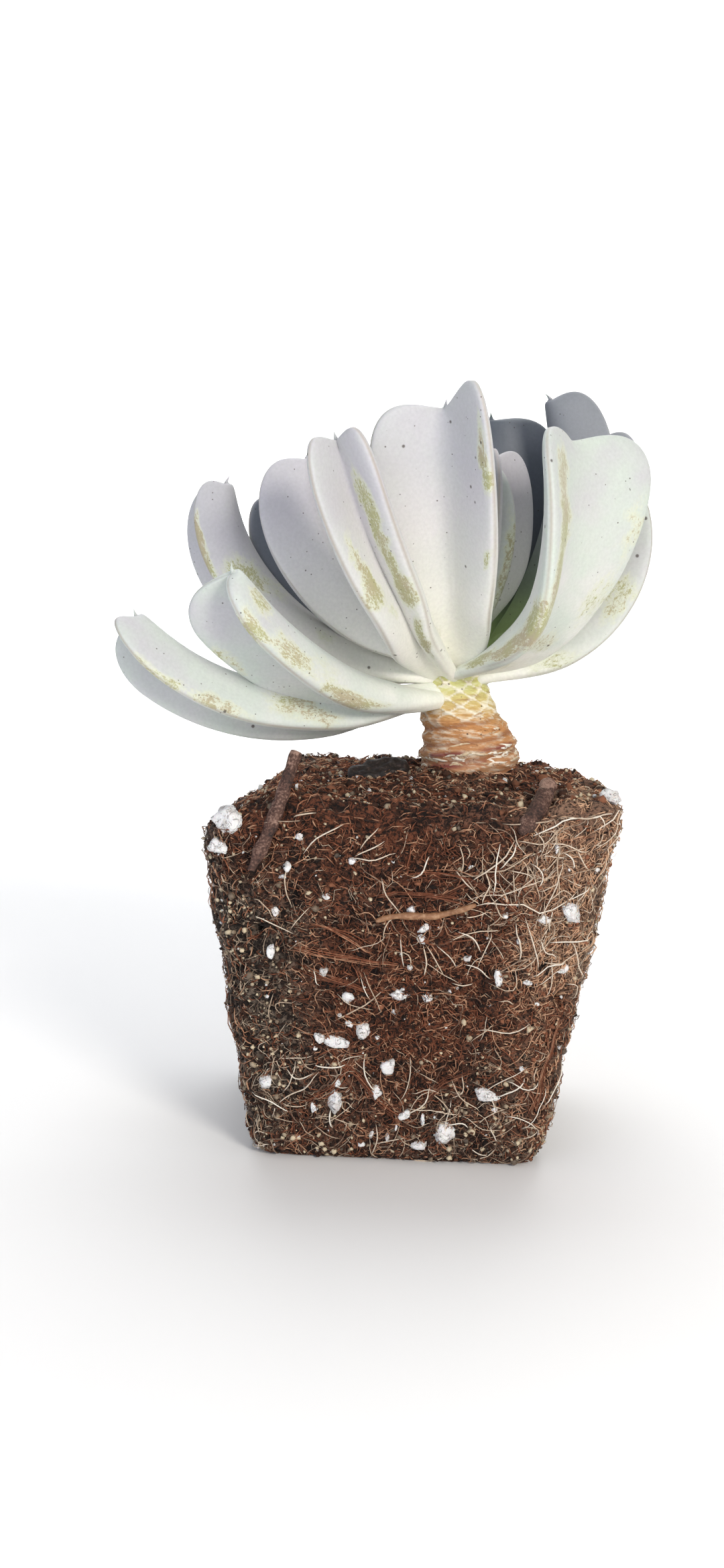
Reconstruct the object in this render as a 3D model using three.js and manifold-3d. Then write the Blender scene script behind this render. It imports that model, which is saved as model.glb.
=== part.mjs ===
import * as THREE from "three";
import { mergeVertices } from "three/addons/utils/BufferGeometryUtils.js";
import Module from "manifold-3d";

// A succulent lifted out of its pot: a square ball of potting mix bound by roots, a thick scarred
// stem that leans a little, and a rosette of thick leaves grooved along their outer face.
// Millimetres, +Z up. The origin is the middle of the flat underside of the root ball.

// Clearances
const SOIL_GAP = 0.35; // round whatever stands or lies in the soil
const LEAF_GAP = 0.5; // between one leaf and the next
const TIDY = 0.1; // how far a face may move when cut edges are cleaned up

// Root ball
const BALL_HEIGHT = 84;
const BALL_HALF_BASE = 33.5;
const BALL_HALF_TOP = 46;
const BALL_SQUARENESS = 12; // 2 gives a circle, larger gives a sharper square
const BALL_CELLS = 17; // grid cells across a side
const BALL_ROWS = 13;
const BASE_ROUNDING = 4;
const ROUNDED_ROWS = 3; // the lowest rows that follow the rounding
const RIM_ROUNDING = 2.5;
const RIM_SHARE = 0.93; // the rim starts to round off at this share of the half width
const MOUND = { height: 6, reach: 22 }; // the soil heaps up round the foot of the stem
const HIGH_RIGHT = { height: 3.5, from: 20, over: 26 }; // it is higher at the right rim
const WORN_LEFT = { depth: 9, slope: 4, from: -24, over: 22 }; // and worn away at the left, more so behind

// Stem
const STEM_FOOT = 84;
const STEM_NECK = 104; // above this the stem leans in a straight line
const CROWN_BASE = 106; // the lowest leaves grow from here
const LEAN = { x: 14, z: 86, perUp: -0.18 }; // where that line passes and how it leans
const FOOT_SHIFT = { x: 3.4, over: 10 }; // below the neck the stem swings back to the right
const STEM_TOP = 122;
const STEM_AROUND = 24;
const STEM_STEP = 1.3;
const RING_SPACING = 4; // old leaf scars ring the lower stem
const RING_RELIEF = 0.4;
const RING_SLANT = 2.1; // the rings climb this far across the stem
const STEM_RADII = [
  [84, 11.2],
  [90, 11.7],
  [93, 11.5],
  [98, 10.4],
  [103, 8.9],
  [106, 8.0],
  [110, 7.0],
  [114, 6.0],
  [118, 4.8],
  [122, 3.0],
];

// What every leaf shares unless its own row says otherwise.
const LEAF_FORM = {
  twist: 0, // turns the blade about its own length
  bend: 0, // swings the tip sideways
  fold: 40, // how far the two halves stand up from the groove on the outer face
  thick: 7,
  widest: 0.76, // share of the length where the blade is widest
  base: 0.36, // width at the foot as a share of the full width
  curlPower: 1.2,
  lobe: 5, // how far the two rounded lobes of the tip reach past the groove
  skew: 0, // makes one lobe longer than the other
  lop: 0, // makes one half wider than the other
  point: 2.5, // the small point at the tip
};
const LEAF_FOOT_OUT = 4; // distance of a leaf's foot from the middle of the stem
const GROOVE_SOFTNESS = 0.5;
const MARGIN_ROUNDNESS = 0.7; // below 1 the points of a ring gather towards the margins
const FACE_FULLNESS = 0.6; // below 1 the faces are flatter and the margins blunter
const MARGIN_THINNING = 0.35; // how much of its thickness a leaf loses towards its margins
const TIP_GROWTH = 1.6; // how much further a tip grows than its faces when a leaf is grown
const BODY_RINGS = 7;
const TIP_RINGS = 6;
const LEAF_AROUND = 12;
const SPINE_STEPS = 88;
const SPINE_REACH = 1.1; // the spine runs on past the tip, because the lobes do

// One row a leaf. Angles in degrees: azimuth runs anticlockwise from +X, rise is the slope at the foot
// and curl is how much steeper the tip is. The front rows come first, so the later ones give way to them.
const LEAVES = [
  { azimuth: 265, z: 112, rise: 50, curl: 25, length: 66, width: 34, twist: 5, bend: -15, fold: 35,
    skew: 0.5, widest: 0.86, lobe: 6 },
  { azimuth: 315, z: 111, rise: 18, curl: 95, length: 69, width: 40, twist: -28, bend: -28, fold: 20,
    skew: 0.8, widest: 0.88, lobe: 3, lop: 0.1 },
  { azimuth: 220, z: 105, rise: -10, curl: 60, length: 72, width: 25, twist: 10, fold: 45, skew: 0.3,
    widest: 0.85, curlPower: 0.8, lobe: 1, lop: -0.3 },
  { azimuth: 205, z: 107, rise: -12, curl: 60, length: 80, width: 24, twist: -20, bend: -10, fold: 55,
    skew: 0.8, widest: 0.85, curlPower: 1.6, lobe: 3 },
  { azimuth: 190, z: 110, rise: 6, curl: 80, length: 74, width: 25, bend: -15, fold: 60, skew: 0.4,
    curlPower: 1.4, lobe: 2, lop: -0.2 },
  { azimuth: 240, z: 110, rise: 30, curl: 35, length: 72, width: 24, twist: -45, bend: -10, fold: 55,
    widest: 0.88, lop: -0.1 },
  { azimuth: 5, z: 110, rise: 20, curl: 95, length: 60, width: 28, twist: -5, fold: 40, curlPower: 1.4 },
  { azimuth: 205, z: 113, rise: 30, curl: 55, length: 60, width: 28, twist: 5, bend: -20, fold: 65,
    curlPower: 1.4, lobe: 1.5 },
  { azimuth: 300, z: 118, rise: 70, curl: 40, length: 38, width: 19 },
  { azimuth: 350, z: 117, rise: 80, curl: 15, length: 44, width: 27, twist: 15, bend: 5, fold: 30,
    widest: 0.7, lop: 0.1 },
  { azimuth: 75, z: 112, rise: 43, curl: 53, length: 69, width: 36, twist: 10, fold: 35, skew: 0.5,
    lop: -0.1 },
  { azimuth: 37, z: 108, rise: 44, curl: 68, length: 77, width: 34, twist: 5, bend: -17, fold: 65,
    skew: -0.6, base: 0.26, curlPower: 1.3, lobe: 1.5, lop: 0.2 },
  { azimuth: 170, z: 110, rise: 18, curl: 60, length: 57, width: 30 },
  { azimuth: 32, z: 111, rise: 32, curl: 60, length: 70, width: 28 },
  { azimuth: 140, z: 109, rise: 15, curl: 60, length: 64, width: 30 },
  { azimuth: 90, z: 110, rise: 16, curl: 66, length: 70, width: 32, base: 0.26 },
  { azimuth: 112, z: 110, rise: 25, curl: 55, length: 68, width: 32 },
  { azimuth: 240, z: 117, rise: 60, curl: 20, length: 44, width: 20 },
  { azimuth: 120, z: 117, rise: 62, curl: 20, length: 50, width: 24 },
  { azimuth: 180, z: 118, rise: 66, curl: 15, length: 44, width: 22 },
  { azimuth: 60, z: 119, rise: 76, curl: 8, length: 30, width: 16 },
  { azimuth: 95, z: 121, rise: 80, curl: 5, length: 34, width: 16 },
  { azimuth: 230, z: 121, rise: 80, curl: 5, length: 32, width: 15 },
  { azimuth: 330, z: 121, rise: 82, curl: 5, length: 28, width: 14 },
];

// Two bits of twig lean over the front rim of the root ball.
const TWIGS = {
  twig_left: { from: [-34.6, -48, 69], to: [-25.6, -42.5, 94.5], radius: 1.5 },
  twig_right: { from: [23.3, -48.5, 80.3], to: [30.3, -34, 89], radius: 2 },
};
const TWIG_STEPS = 5;
const ROD_SIDES = 8;
const KNOBBLE = 0.18; // unevenness of twigs and roots as a share of their radius

// A flat chip of bark lies on the soil beside the stem.
const CHIP = { at: [-7.5, -6, 85.8], long: 14, wide: 8, thick: 2, bevel: 0.6, turn: [0.35, -0.12, 0.3] };

// The larger lumps of perlite: where each one sits and its size along X, Y and Z.
const PERLITE = [
  { at: [-40.2, -44, 79.5], size: [6, 5, 5.5] },
  { at: onFront(28.2, 60.6, -0.5), size: [5, 4, 5] },
  { at: onFront(20, 17.5, -0.5), size: [7, 4, 3.6] },
  { at: onFront(-14, 15.5, -0.5), size: [4, 4, 6.4] },
  { at: onFront(10.5, 8.5, -0.5), size: [5.4, 4, 4.8] },
  { at: [43.2, -38, 87], size: [4.2, 4, 3.6] },
  { at: onFront(-1, 41.6, -0.5), size: [5.2, 4, 2.8] },
  { at: [-42, -43.5, 73], size: [3.8, 4, 3.8] },
];

// A thick tan root runs across the front face.
const LONG_ROOT = {
  route: [onFront(-7, 60.8, 0.3), onFront(-1, 61.8, 0.5), onFront(6, 62.2, 0.5), onFront(14, 64.3, 0.3)],
  radius: 0.8,
  steps: 6,
};

const soilMaterial = new THREE.MeshStandardMaterial({ color: 0x4a3226, roughness: 1, metalness: 0 });
const stemMaterial = new THREE.MeshStandardMaterial({ color: 0xc79a5e, roughness: 0.8, metalness: 0 });
const leafMaterial = new THREE.MeshStandardMaterial({ color: 0xc9d2c8, roughness: 0.6, metalness: 0 });
const twigMaterial = new THREE.MeshStandardMaterial({ color: 0x5d4038, roughness: 0.9, metalness: 0 });
const barkMaterial = new THREE.MeshStandardMaterial({ color: 0x33241e, roughness: 0.9, metalness: 0 });
const rootMaterial = new THREE.MeshStandardMaterial({ color: 0xb98d5a, roughness: 0.8, metalness: 0 });
const perliteMaterial = new THREE.MeshStandardMaterial({ color: 0xe9e6dc, roughness: 1, metalness: 0 });

const wasm = await Module();
wasm.setup();

// Small helpers

function radians(degrees) {
  return THREE.MathUtils.degToRad(degrees);
}

function smooth(value) {
  return THREE.MathUtils.smoothstep(value, 0, 1);
}

function lookUp(rows, at) {
  const next = Math.max(1, rows.findIndex(([height]) => at <= height));
  const [[low, from], [high, to]] = [rows[next - 1], rows[next]];
  return THREE.MathUtils.mapLinear(THREE.MathUtils.clamp(at, low, high), low, high, from, to);
}

function ballHalf(z) {
  return THREE.MathUtils.mapLinear(z, 0, BALL_HEIGHT, BALL_HALF_BASE, BALL_HALF_TOP);
}

function onFront(x, z, proud) {
  return [x, -(ballHalf(z) + proud), z];
}

function scatter(i, j, k) {
  const value = Math.sin(i * 127.1 + j * 311.7 + k * 74.7) * 43758.5453;
  return value - Math.floor(value);
}

// Smooth lumpy noise between -1 and 1, with lumps of about the given size.
function lumps(x, y, z, size) {
  const [px, py, pz] = [x / size, y / size, z / size];
  const [i, j, k] = [Math.floor(px), Math.floor(py), Math.floor(pz)];
  let sum = 0;
  for (let corner = 0; corner < 8; corner += 1) {
    const [a, b, c] = [corner & 1, (corner >> 1) & 1, corner >> 2];
    const near = [px - i - a, py - j - b, pz - k - c].map((away) => smooth(1 - Math.abs(away)));
    sum += near[0] * near[1] * near[2] * scatter(i + a, j + b, k + c);
  }
  return sum * 2 - 1;
}

// Moves every vertex of a geometry to where the function puts it.
function reshape(geometry, move) {
  const position = geometry.getAttribute("position");
  const point = new THREE.Vector3();
  for (let i = 0; i < position.count; i += 1) {
    point.fromBufferAttribute(position, i);
    position.setXYZ(i, ...move(point, i).toArray());
  }
  return geometry;
}

function solidFrom(geometry, matrix = new THREE.Matrix4()) {
  const bare = geometry.clone().applyMatrix4(matrix);
  bare.deleteAttribute("normal");
  bare.deleteAttribute("uv");
  const merged = mergeVertices(bare, 1e-4);
  const mesh = new wasm.Mesh({
    numProp: 3,
    vertProperties: new Float32Array(merged.getAttribute("position").array),
    triVerts: new Uint32Array(merged.index.array),
  });
  mesh.merge();
  return new wasm.Manifold(mesh);
}

function geometryFrom(solid, matrix = new THREE.Matrix4()) {
  const { vertProperties, triVerts } = solid.getMesh();
  const geometry = new THREE.BufferGeometry();
  geometry.setAttribute("position", new THREE.BufferAttribute(new Float32Array(vertProperties), 3));
  geometry.setIndex(new THREE.BufferAttribute(new Uint32Array(triVerts), 1));
  geometry.applyMatrix4(matrix.clone().invert());
  geometry.computeVertexNormals();
  return geometry;
}

// Cleans up the cut edges and keeps the largest body where a cut leaves crumbs.
function largestBody(solid) {
  const bodies = solid.simplify(TIDY).decompose();
  return bodies.reduce((best, body) => (body.volume() > best.volume() ? body : best));
}

// Root ball

// Height of the soil: mounded round the stem, higher at the right rim, worn away at the left and far corner.
function soilHeight(x, y) {
  const mound = MOUND.height * Math.exp(-((x - LEAN.x) ** 2 + y ** 2) / MOUND.reach ** 2);
  const front = smooth((10 - y) / BALL_HALF_TOP);
  const right = HIGH_RIGHT.height * smooth((x - HIGH_RIGHT.from) / HIGH_RIGHT.over) * front;
  const wear = WORN_LEFT.depth + (WORN_LEFT.slope * y) / BALL_HALF_TOP;
  const worn = wear * smooth((WORN_LEFT.from - x) / WORN_LEFT.over);
  return BALL_HEIGHT + mound + right - worn + lumps(x, y, 0, 7) + 0.7 * lumps(x, y, 20, 4);
}

// A cube's surface is bent to a tapered block with rounded edges, a flat underside and lumpy sides.
function rootBall() {
  const cube = new THREE.BoxGeometry(2, 2, 2, BALL_CELLS, BALL_CELLS, BALL_ROWS);
  return reshape(cube, ({ x: a, y: b, z: c }) => {
    const reach = Math.max(Math.abs(a), Math.abs(b));
    const [u, v] = reach > 0 ? [a / reach, b / reach] : [0, 0];
    const sum = Math.abs(u) ** BALL_SQUARENESS + Math.abs(v) ** BALL_SQUARENESS;
    const corner = Math.max(sum, 1) ** (1 / BALL_SQUARENESS);
    const gridRow = Math.round(((c + 1) / 2) * BALL_ROWS);
    const curve = (Math.PI / 2) * Math.min(1, gridRow / ROUNDED_ROWS);
    const share = Math.max(0, gridRow - ROUNDED_ROWS) / (BALL_ROWS - ROUNDED_ROWS);
    const level = BASE_ROUNDING * (1 - Math.cos(curve)) + share * (BALL_HEIGHT - BASE_ROUNDING);
    const half = ballHalf(level) - BASE_ROUNDING * (1 - Math.sin(curve));
    const [x, y] = [(a / corner) * half, (b / corner) * half];
    const rim = RIM_ROUNDING * smooth((reach - RIM_SHARE) / (1 - RIM_SHARE));
    const z = level + share * (soilHeight(x, y) - rim - BALL_HEIGHT);
    const push = reach === 1 ? (0.8 * lumps(x, y, z, 8) + 0.6 * lumps(x, y + 50, z, 4.5)) * smooth(z / 8) : 0;
    const swell = 1 + push / BALL_HALF_TOP;
    return new THREE.Vector3(x * swell, y * swell, z);
  });
}

// Stem

function leaningLine(z) {
  return LEAN.x + LEAN.perUp * (z - LEAN.z);
}

function stemMiddle(z) {
  return leaningLine(Math.max(z, STEM_NECK)) + FOOT_SHIFT.x * smooth((STEM_NECK - z) / FOOT_SHIFT.over);
}

function stem(grow) {
  const foot = STEM_FOOT - grow;
  const top = STEM_TOP + grow;
  const profile = [new THREE.Vector2(0, foot)];
  const steps = Math.round((top - foot) / STEM_STEP);
  for (let i = 0; i <= steps; i += 1) {
    const z = THREE.MathUtils.lerp(foot, top, i / steps);
    profile.push(new THREE.Vector2(lookUp(STEM_RADII, z) + grow, z));
  }
  profile.push(new THREE.Vector2(0, top));
  const lathe = new THREE.LatheGeometry(profile, STEM_AROUND).rotateX(Math.PI / 2);
  return reshape(lathe, ({ x, y, z }) => {
    const radius = Math.hypot(x, y);
    const turn = radius > 0 ? x / radius : 0;
    const fade = smooth((108 - z) / 8) * smooth((z - 84) / 3);
    const ridge = RING_RELIEF * fade * Math.sin((2 * Math.PI * (z - RING_SLANT * turn)) / RING_SPACING);
    const share = radius > 0 ? 1 + ridge / radius : 0;
    return new THREE.Vector3(stemMiddle(z) + x * share, y * share, z);
  });
}

// Leaves

// Returns a function that gives the place and the directions at a share of the leaf's length. The leaf
// starts at its own origin and heads along +X.
function leafSpine(leaf) {
  const heading = (t) => radians(leaf.bend * t);
  const slope = (t) => radians(leaf.rise + leaf.curl * Math.max(t, 0) ** leaf.curlPower);
  const forward = (t) =>
    new THREE.Vector3(
      Math.cos(slope(t)) * Math.cos(heading(t)),
      Math.cos(slope(t)) * Math.sin(heading(t)),
      Math.sin(slope(t)),
    );
  const step = SPINE_REACH / SPINE_STEPS;
  const points = [new THREE.Vector3()];
  for (let i = 1; i <= SPINE_STEPS; i += 1) {
    const mean = forward((i - 1) * step).add(forward(i * step)).divideScalar(2);
    points.push(points[i - 1].clone().addScaledVector(mean, leaf.length * step));
  }
  return (q) => {
    const place = THREE.MathUtils.clamp(q / step, 0, SPINE_STEPS - 1e-6);
    const before = Math.floor(place);
    const at = points[before].clone().lerp(points[before + 1], place - before);
    const along = forward(q);
    const outward = new THREE.Vector3(
      Math.sin(slope(q)) * Math.cos(heading(q)),
      Math.sin(slope(q)) * Math.sin(heading(q)),
      -Math.cos(slope(q)),
    );
    const sideways = along.clone().cross(outward);
    const turn = radians(leaf.twist) * smooth(q / 0.5);
    const across = sideways.clone().multiplyScalar(Math.cos(turn)).addScaledVector(outward, Math.sin(turn));
    const away = outward.clone().multiplyScalar(Math.cos(turn)).addScaledVector(sideways, -Math.sin(turn));
    return { at, along, across, away };
  };
}

// Half width, reach of the lobes and fullness at each ring, from the foot to the tip.
function leafRings(leaf) {
  const half = leaf.width / 2;
  const rings = [];
  for (let i = 0; i < BODY_RINGS; i += 1) {
    const swell = Math.sin((i / BODY_RINGS) * (Math.PI / 2)) ** 1.15;
    const wide = half * THREE.MathUtils.lerp(leaf.base, 1, swell);
    rings.push({ q: (leaf.widest * i) / BODY_RINGS, wide, lobe: 0, full: 1, ahead: 0 });
  }
  for (let i = 0; i < TIP_RINGS; i += 1) {
    const angle = (Math.PI / 2) * (i / TIP_RINGS) ** 0.85;
    rings.push({
      q: THREE.MathUtils.lerp(leaf.widest, 1, Math.sin(angle)),
      wide: half * Math.cos(angle) ** 0.8,
      lobe: leaf.lobe * Math.sin(2 * angle),
      full: Math.cos(angle),
      ahead: Math.sin(angle),
    });
  }
  return rings;
}

// A sphere's rows become the rings of the leaf: the first row is the foot and the last row is the tip.
function leaf(row, grow) {
  const form = { ...LEAF_FORM, ...row };
  const spine = leafSpine(form);
  const rings = leafRings(form);
  const span = Math.hypot(1, GROOVE_SOFTNESS) - GROOVE_SOFTNESS;
  const sphere = new THREE.SphereGeometry(1, LEAF_AROUND, rings.length + 1);
  const uv = sphere.getAttribute("uv");
  return reshape(sphere, (point, i) => {
    const line = Math.round((1 - uv.getY(i)) * (rings.length + 1));
    if (line === 0) {
      const foot = spine(0);
      return foot.at.addScaledVector(foot.along, -0.5 - grow);
    }
    if (line > rings.length) {
      const tip = spine(1);
      tip.at.addScaledVector(tip.along, 0.75 * form.point + TIP_GROWTH * grow);
      return tip.at.addScaledVector(tip.away, -0.65 * form.point);
    }
    const { q, wide, lobe, full, ahead } = rings[line - 1];
    const fold = radians(form.fold) * (0.35 + 0.65 * smooth(q / 0.35));
    const taper = (0.62 + 0.38 * smooth(q / 0.3)) * (1 - 0.25 * smooth((q - 0.5) / 0.5));
    const angle = 2 * Math.PI * uv.getX(i);
    const v = Math.sign(Math.cos(angle)) * Math.abs(Math.cos(angle)) ** MARGIN_ROUNDNESS;
    const face = Math.sign(Math.sin(angle)) * Math.abs(Math.sin(angle)) ** FACE_FULLNESS;
    const plump = (0.3 + 0.7 * Math.sqrt(full)) * (1 - MARGIN_THINNING * v * v);
    const thick = form.thick * taper * plump + 2 * grow;
    const half = wide * (1 + form.lop * v) + grow;
    const bow = Math.hypot(v, GROOVE_SOFTNESS);
    const slope = new THREE.Vector2(Math.cos(fold), (Math.sin(fold) * v) / bow / span).normalize();
    const hollow = face > 0 ? 1 - 0.4 * (1 - v * v) ** 2 : 1;
    const lift = (face * thick * hollow) / 2;
    const x = half * v * Math.cos(fold) - slope.y * lift;
    const y = (half * Math.sin(fold) * (bow - GROOVE_SOFTNESS)) / span + slope.x * lift;
    const reach = lobe * v * v * (1 + form.skew * v) + TIP_GROWTH * grow * ahead;
    const { at, across, away } = spine(q + reach / form.length);
    return at.addScaledVector(across, x).addScaledVector(away, y);
  });
}

// Small things in the soil

function perliteLump({ at, size }, grow) {
  const lump = new THREE.IcosahedronGeometry(0.5, 1);
  return reshape(lump, (point) => {
    const uneven = 1 + 0.16 * lumps(point.x + at[0], point.y, point.z + at[2], 0.4);
    const grown = new THREE.Vector3(size[0] + 2 * grow, size[1] + 2 * grow, size[2] + 2 * grow);
    return point.multiply(grown).multiplyScalar(uneven);
  });
}

// A round rod along a route, a little knobbly.
function rod(route, radius, steps, grow) {
  const points = route.map((point) => new THREE.Vector3(...point));
  const last = points.length - 1;
  const lead = points[0].clone().sub(points[1]).normalize();
  const trail = points[last].clone().sub(points[last - 1]).normalize();
  points[0].addScaledVector(lead, grow);
  points[last].addScaledVector(trail, grow);
  const circle = new THREE.EllipseCurve(0, 0, radius + grow, radius + grow);
  const ring = circle.getPoints(ROD_SIDES).slice(0, ROD_SIDES);
  const path = new THREE.CatmullRomCurve3(points);
  const tube = new THREE.ExtrudeGeometry(new THREE.Shape(ring), { extrudePath: path, steps });
  return reshape(tube, (p) => {
    const { x, y, z } = p;
    const shift = new THREE.Vector3(lumps(x, y, z, 3), lumps(y, z, x, 3), lumps(z, x, y, 3));
    return p.addScaledVector(shift, KNOBBLE * radius);
  });
}

function barkChip(grow) {
  const { long, wide, thick, bevel } = CHIP;
  const outline = new THREE.Shape();
  outline.moveTo(-long / 2, -wide * 0.2);
  outline.lineTo(-long * 0.3, -wide / 2);
  outline.lineTo(long * 0.38, -wide * 0.42);
  outline.lineTo(long / 2, wide * 0.1);
  outline.lineTo(long * 0.24, wide / 2);
  outline.lineTo(-long * 0.36, wide * 0.36);
  outline.closePath();
  const settings = { depth: thick, bevelThickness: bevel + grow, bevelSize: bevel + grow, bevelSegments: 1 };
  return new THREE.ExtrudeGeometry(outline, settings);
}

// The assembly

const plant = new THREE.Group();
const roots = new THREE.Group();
const rosette = new THREE.Group();
rosette.position.set(leaningLine(CROWN_BASE), 0, CROWN_BASE);
plant.add(roots, rosette);

function addPiece(group, name, geometry, material) {
  const mesh = new THREE.Mesh(geometry, material.clone());
  mesh.name = name;
  group.add(mesh);
  return mesh;
}

// Each thing in the soil has a pocket of its own shape, larger by the gap.
const pockets = [solidFrom(stem(SOIL_GAP))];

function settle(name, make, material, at = [0, 0, 0], turn = [0, 0, 0]) {
  const mesh = addPiece(roots, name, make(0), material);
  mesh.position.set(...at);
  mesh.rotation.set(...turn);
  mesh.updateMatrix();
  pockets.push(solidFrom(make(SOIL_GAP), mesh.matrix));
}

settle("bark_chip", barkChip, barkMaterial, CHIP.at, CHIP.turn);
settle("long_root", (grow) => rod(LONG_ROOT.route, LONG_ROOT.radius, LONG_ROOT.steps, grow), rootMaterial);
for (const [name, { from, to, radius }] of Object.entries(TWIGS)) {
  settle(name, (grow) => rod([from, to], radius, TWIG_STEPS, grow), twigMaterial);
}
PERLITE.forEach((lump, i) => {
  settle(`perlite_${i + 1}`, (grow) => perliteLump(lump, grow), perliteMaterial, lump.at);
});
const ball = pockets.reduce((solid, pocket) => solid.subtract(pocket), solidFrom(rootBall()));
addPiece(roots, "root_ball", geometryFrom(largestBody(ball)), soilMaterial);
addPiece(roots, "stem", stem(0), stemMaterial);

// Each leaf gives way to the stem and to the leaves before it.
let taken = solidFrom(stem(LEAF_GAP));
LEAVES.forEach((row, i) => {
  const name = `leaf_${String(i + 1).padStart(2, "0")}`;
  const mesh = addPiece(rosette, name, new THREE.BufferGeometry(), leafMaterial);
  const azimuth = radians(row.azimuth);
  mesh.position.set(leaningLine(row.z), 0, row.z).sub(rosette.position);
  mesh.position.x += LEAF_FOOT_OUT * Math.cos(azimuth);
  mesh.position.y += LEAF_FOOT_OUT * Math.sin(azimuth);
  mesh.rotation.z = azimuth;
  plant.updateMatrixWorld(true);
  const whole = solidFrom(leaf(row, 0), mesh.matrixWorld);
  mesh.geometry = geometryFrom(largestBody(whole.subtract(taken)), mesh.matrixWorld);
  taken = taken.add(solidFrom(leaf(row, LEAF_GAP), mesh.matrixWorld));
});

export default plant;
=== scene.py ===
"""A rosette succulent lifted out of its pot, with its stem and its root ball.

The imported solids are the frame. Each operator models one kind of piece over them, in the same place.
Shapes are worked out in millimetres, with +Z up and the origin under the middle of the root ball, and
MM turns them to Blender's metres.
"""

import math

import bmesh
import bpy
import numpy as np
from mathutils import Euler, Matrix


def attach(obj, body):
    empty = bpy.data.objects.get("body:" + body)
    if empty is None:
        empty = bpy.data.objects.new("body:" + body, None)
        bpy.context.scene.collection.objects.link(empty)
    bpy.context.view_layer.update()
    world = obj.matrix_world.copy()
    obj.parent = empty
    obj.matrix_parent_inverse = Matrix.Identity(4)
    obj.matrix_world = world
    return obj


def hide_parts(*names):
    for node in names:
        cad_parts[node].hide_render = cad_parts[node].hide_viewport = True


bl_info = {
    "name": "Echeveria plant with root ball",
    "version": (1, 0, 0),
    "blender": (4, 5, 0),
    "location": "View3D > Sidebar > Echeveria",
    "description": "Models the leaves, stem and root ball of a succulent lifted out of its pot",
    "category": "Add Mesh",
}

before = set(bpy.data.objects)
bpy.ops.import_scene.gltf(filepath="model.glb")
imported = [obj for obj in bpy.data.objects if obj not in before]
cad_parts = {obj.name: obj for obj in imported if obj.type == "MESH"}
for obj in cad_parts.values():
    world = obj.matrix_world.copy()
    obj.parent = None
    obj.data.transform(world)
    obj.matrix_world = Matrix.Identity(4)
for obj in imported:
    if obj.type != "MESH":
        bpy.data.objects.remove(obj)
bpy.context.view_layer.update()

MM = 0.001
BODY = "root"

# Root ball
BALL_HEIGHT = 84
BALL_HALF_BASE = 33.5
BALL_HALF_TOP = 46
BALL_SQUARENESS = 12
BASE_ROUNDING = 4
ROUNDED_SHARE = 0.06  # share of the rows of faces that the rounding of the lower edge takes
RIM_ROUNDING = 2.5
RIM_SHARE = 0.93
MOUND = {"height": 6, "reach": 22}
HIGH_RIGHT = {"height": 3.5, "start": 20, "over": 26}
WORN_LEFT = {"depth": 9, "slope": 4, "start": -24, "over": 22}
CRUMB_RELIEF = ((3.1, 0.5), (1.7, 0.4))  # size and height of the crumbs of the mix
PITS = [(35.1, 41.5, 1.5, 5), (-34, 55, 1.6, 3), (8, 60, 1.2, 2), (22, 57, 1.3, 3)]  # x, z, radius, depth

# Stem
STEM_FOOT = 83
STEM_NECK = 104
STEM_TOP = 122
LEAN = {"x": 14, "z": 86, "per_up": -0.18}
FOOT_SHIFT = {"x": 3.4, "over": 10}
RING_SLANT = 2.1
STEM_RADII = (
    (83, 84, 90, 93, 98, 103, 106, 110, 114, 118, 122),
    (11.2, 11.2, 11.7, 11.5, 10.4, 8.9, 8.0, 7.0, 6.0, 4.8, 3.0),
)
NET_FROM = 100  # above this the leaf scars are fresh
OLD_SCARS_CLOSER = 1.6  # below it they lie so many times closer
SCARS_AROUND = 8
STEM_SOIL = 84  # height at which the stem comes out of the mix
STEM_SIDES = 160
STEM_STEPS = 150
STEM_GIRTH = 9  # usual radius, for the size of the marks that run round it
STREAK_BANDS = ((93, 0.6), (90.2, 0.7))  # height and half width; the lower one is on the left only
FLAKES = 130
FLAKE_STEPS = 12
FLAKE_HEIGHTS = (86.5, 101)
FLAKE_BAND = {"share": 0.4, "middle": 91.6, "spread": 0.9}

# What every leaf shares unless its own row says otherwise
LEAF_FORM = {
    "twist": 0,
    "bend": 0,
    "fold": 40,
    "widest": 0.76,
    "base": 0.36,
    "curl_power": 1.2,
    "skew": 0,
    "lobe": 5,
    "lop": 0,
}
LEAF_FOOT_OUT = 4
MARGIN_ROUNDNESS = 0.7
FACE_FULLNESS = 0.6
MARGIN_THINNING = 0.35
LEAF_SEGMENTS = 48
BODY_RINGS = 30
TIP_RINGS = 24
POINT_RINGS = 6
SPINE_STEPS = 220
SPINE_REACH = 1.1
FRONT_LEAVES = 9  # these keep their pale wax on both faces
STROKE_STRETCH = 0.6  # rubbed strokes are drawn out along the leaf

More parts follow.
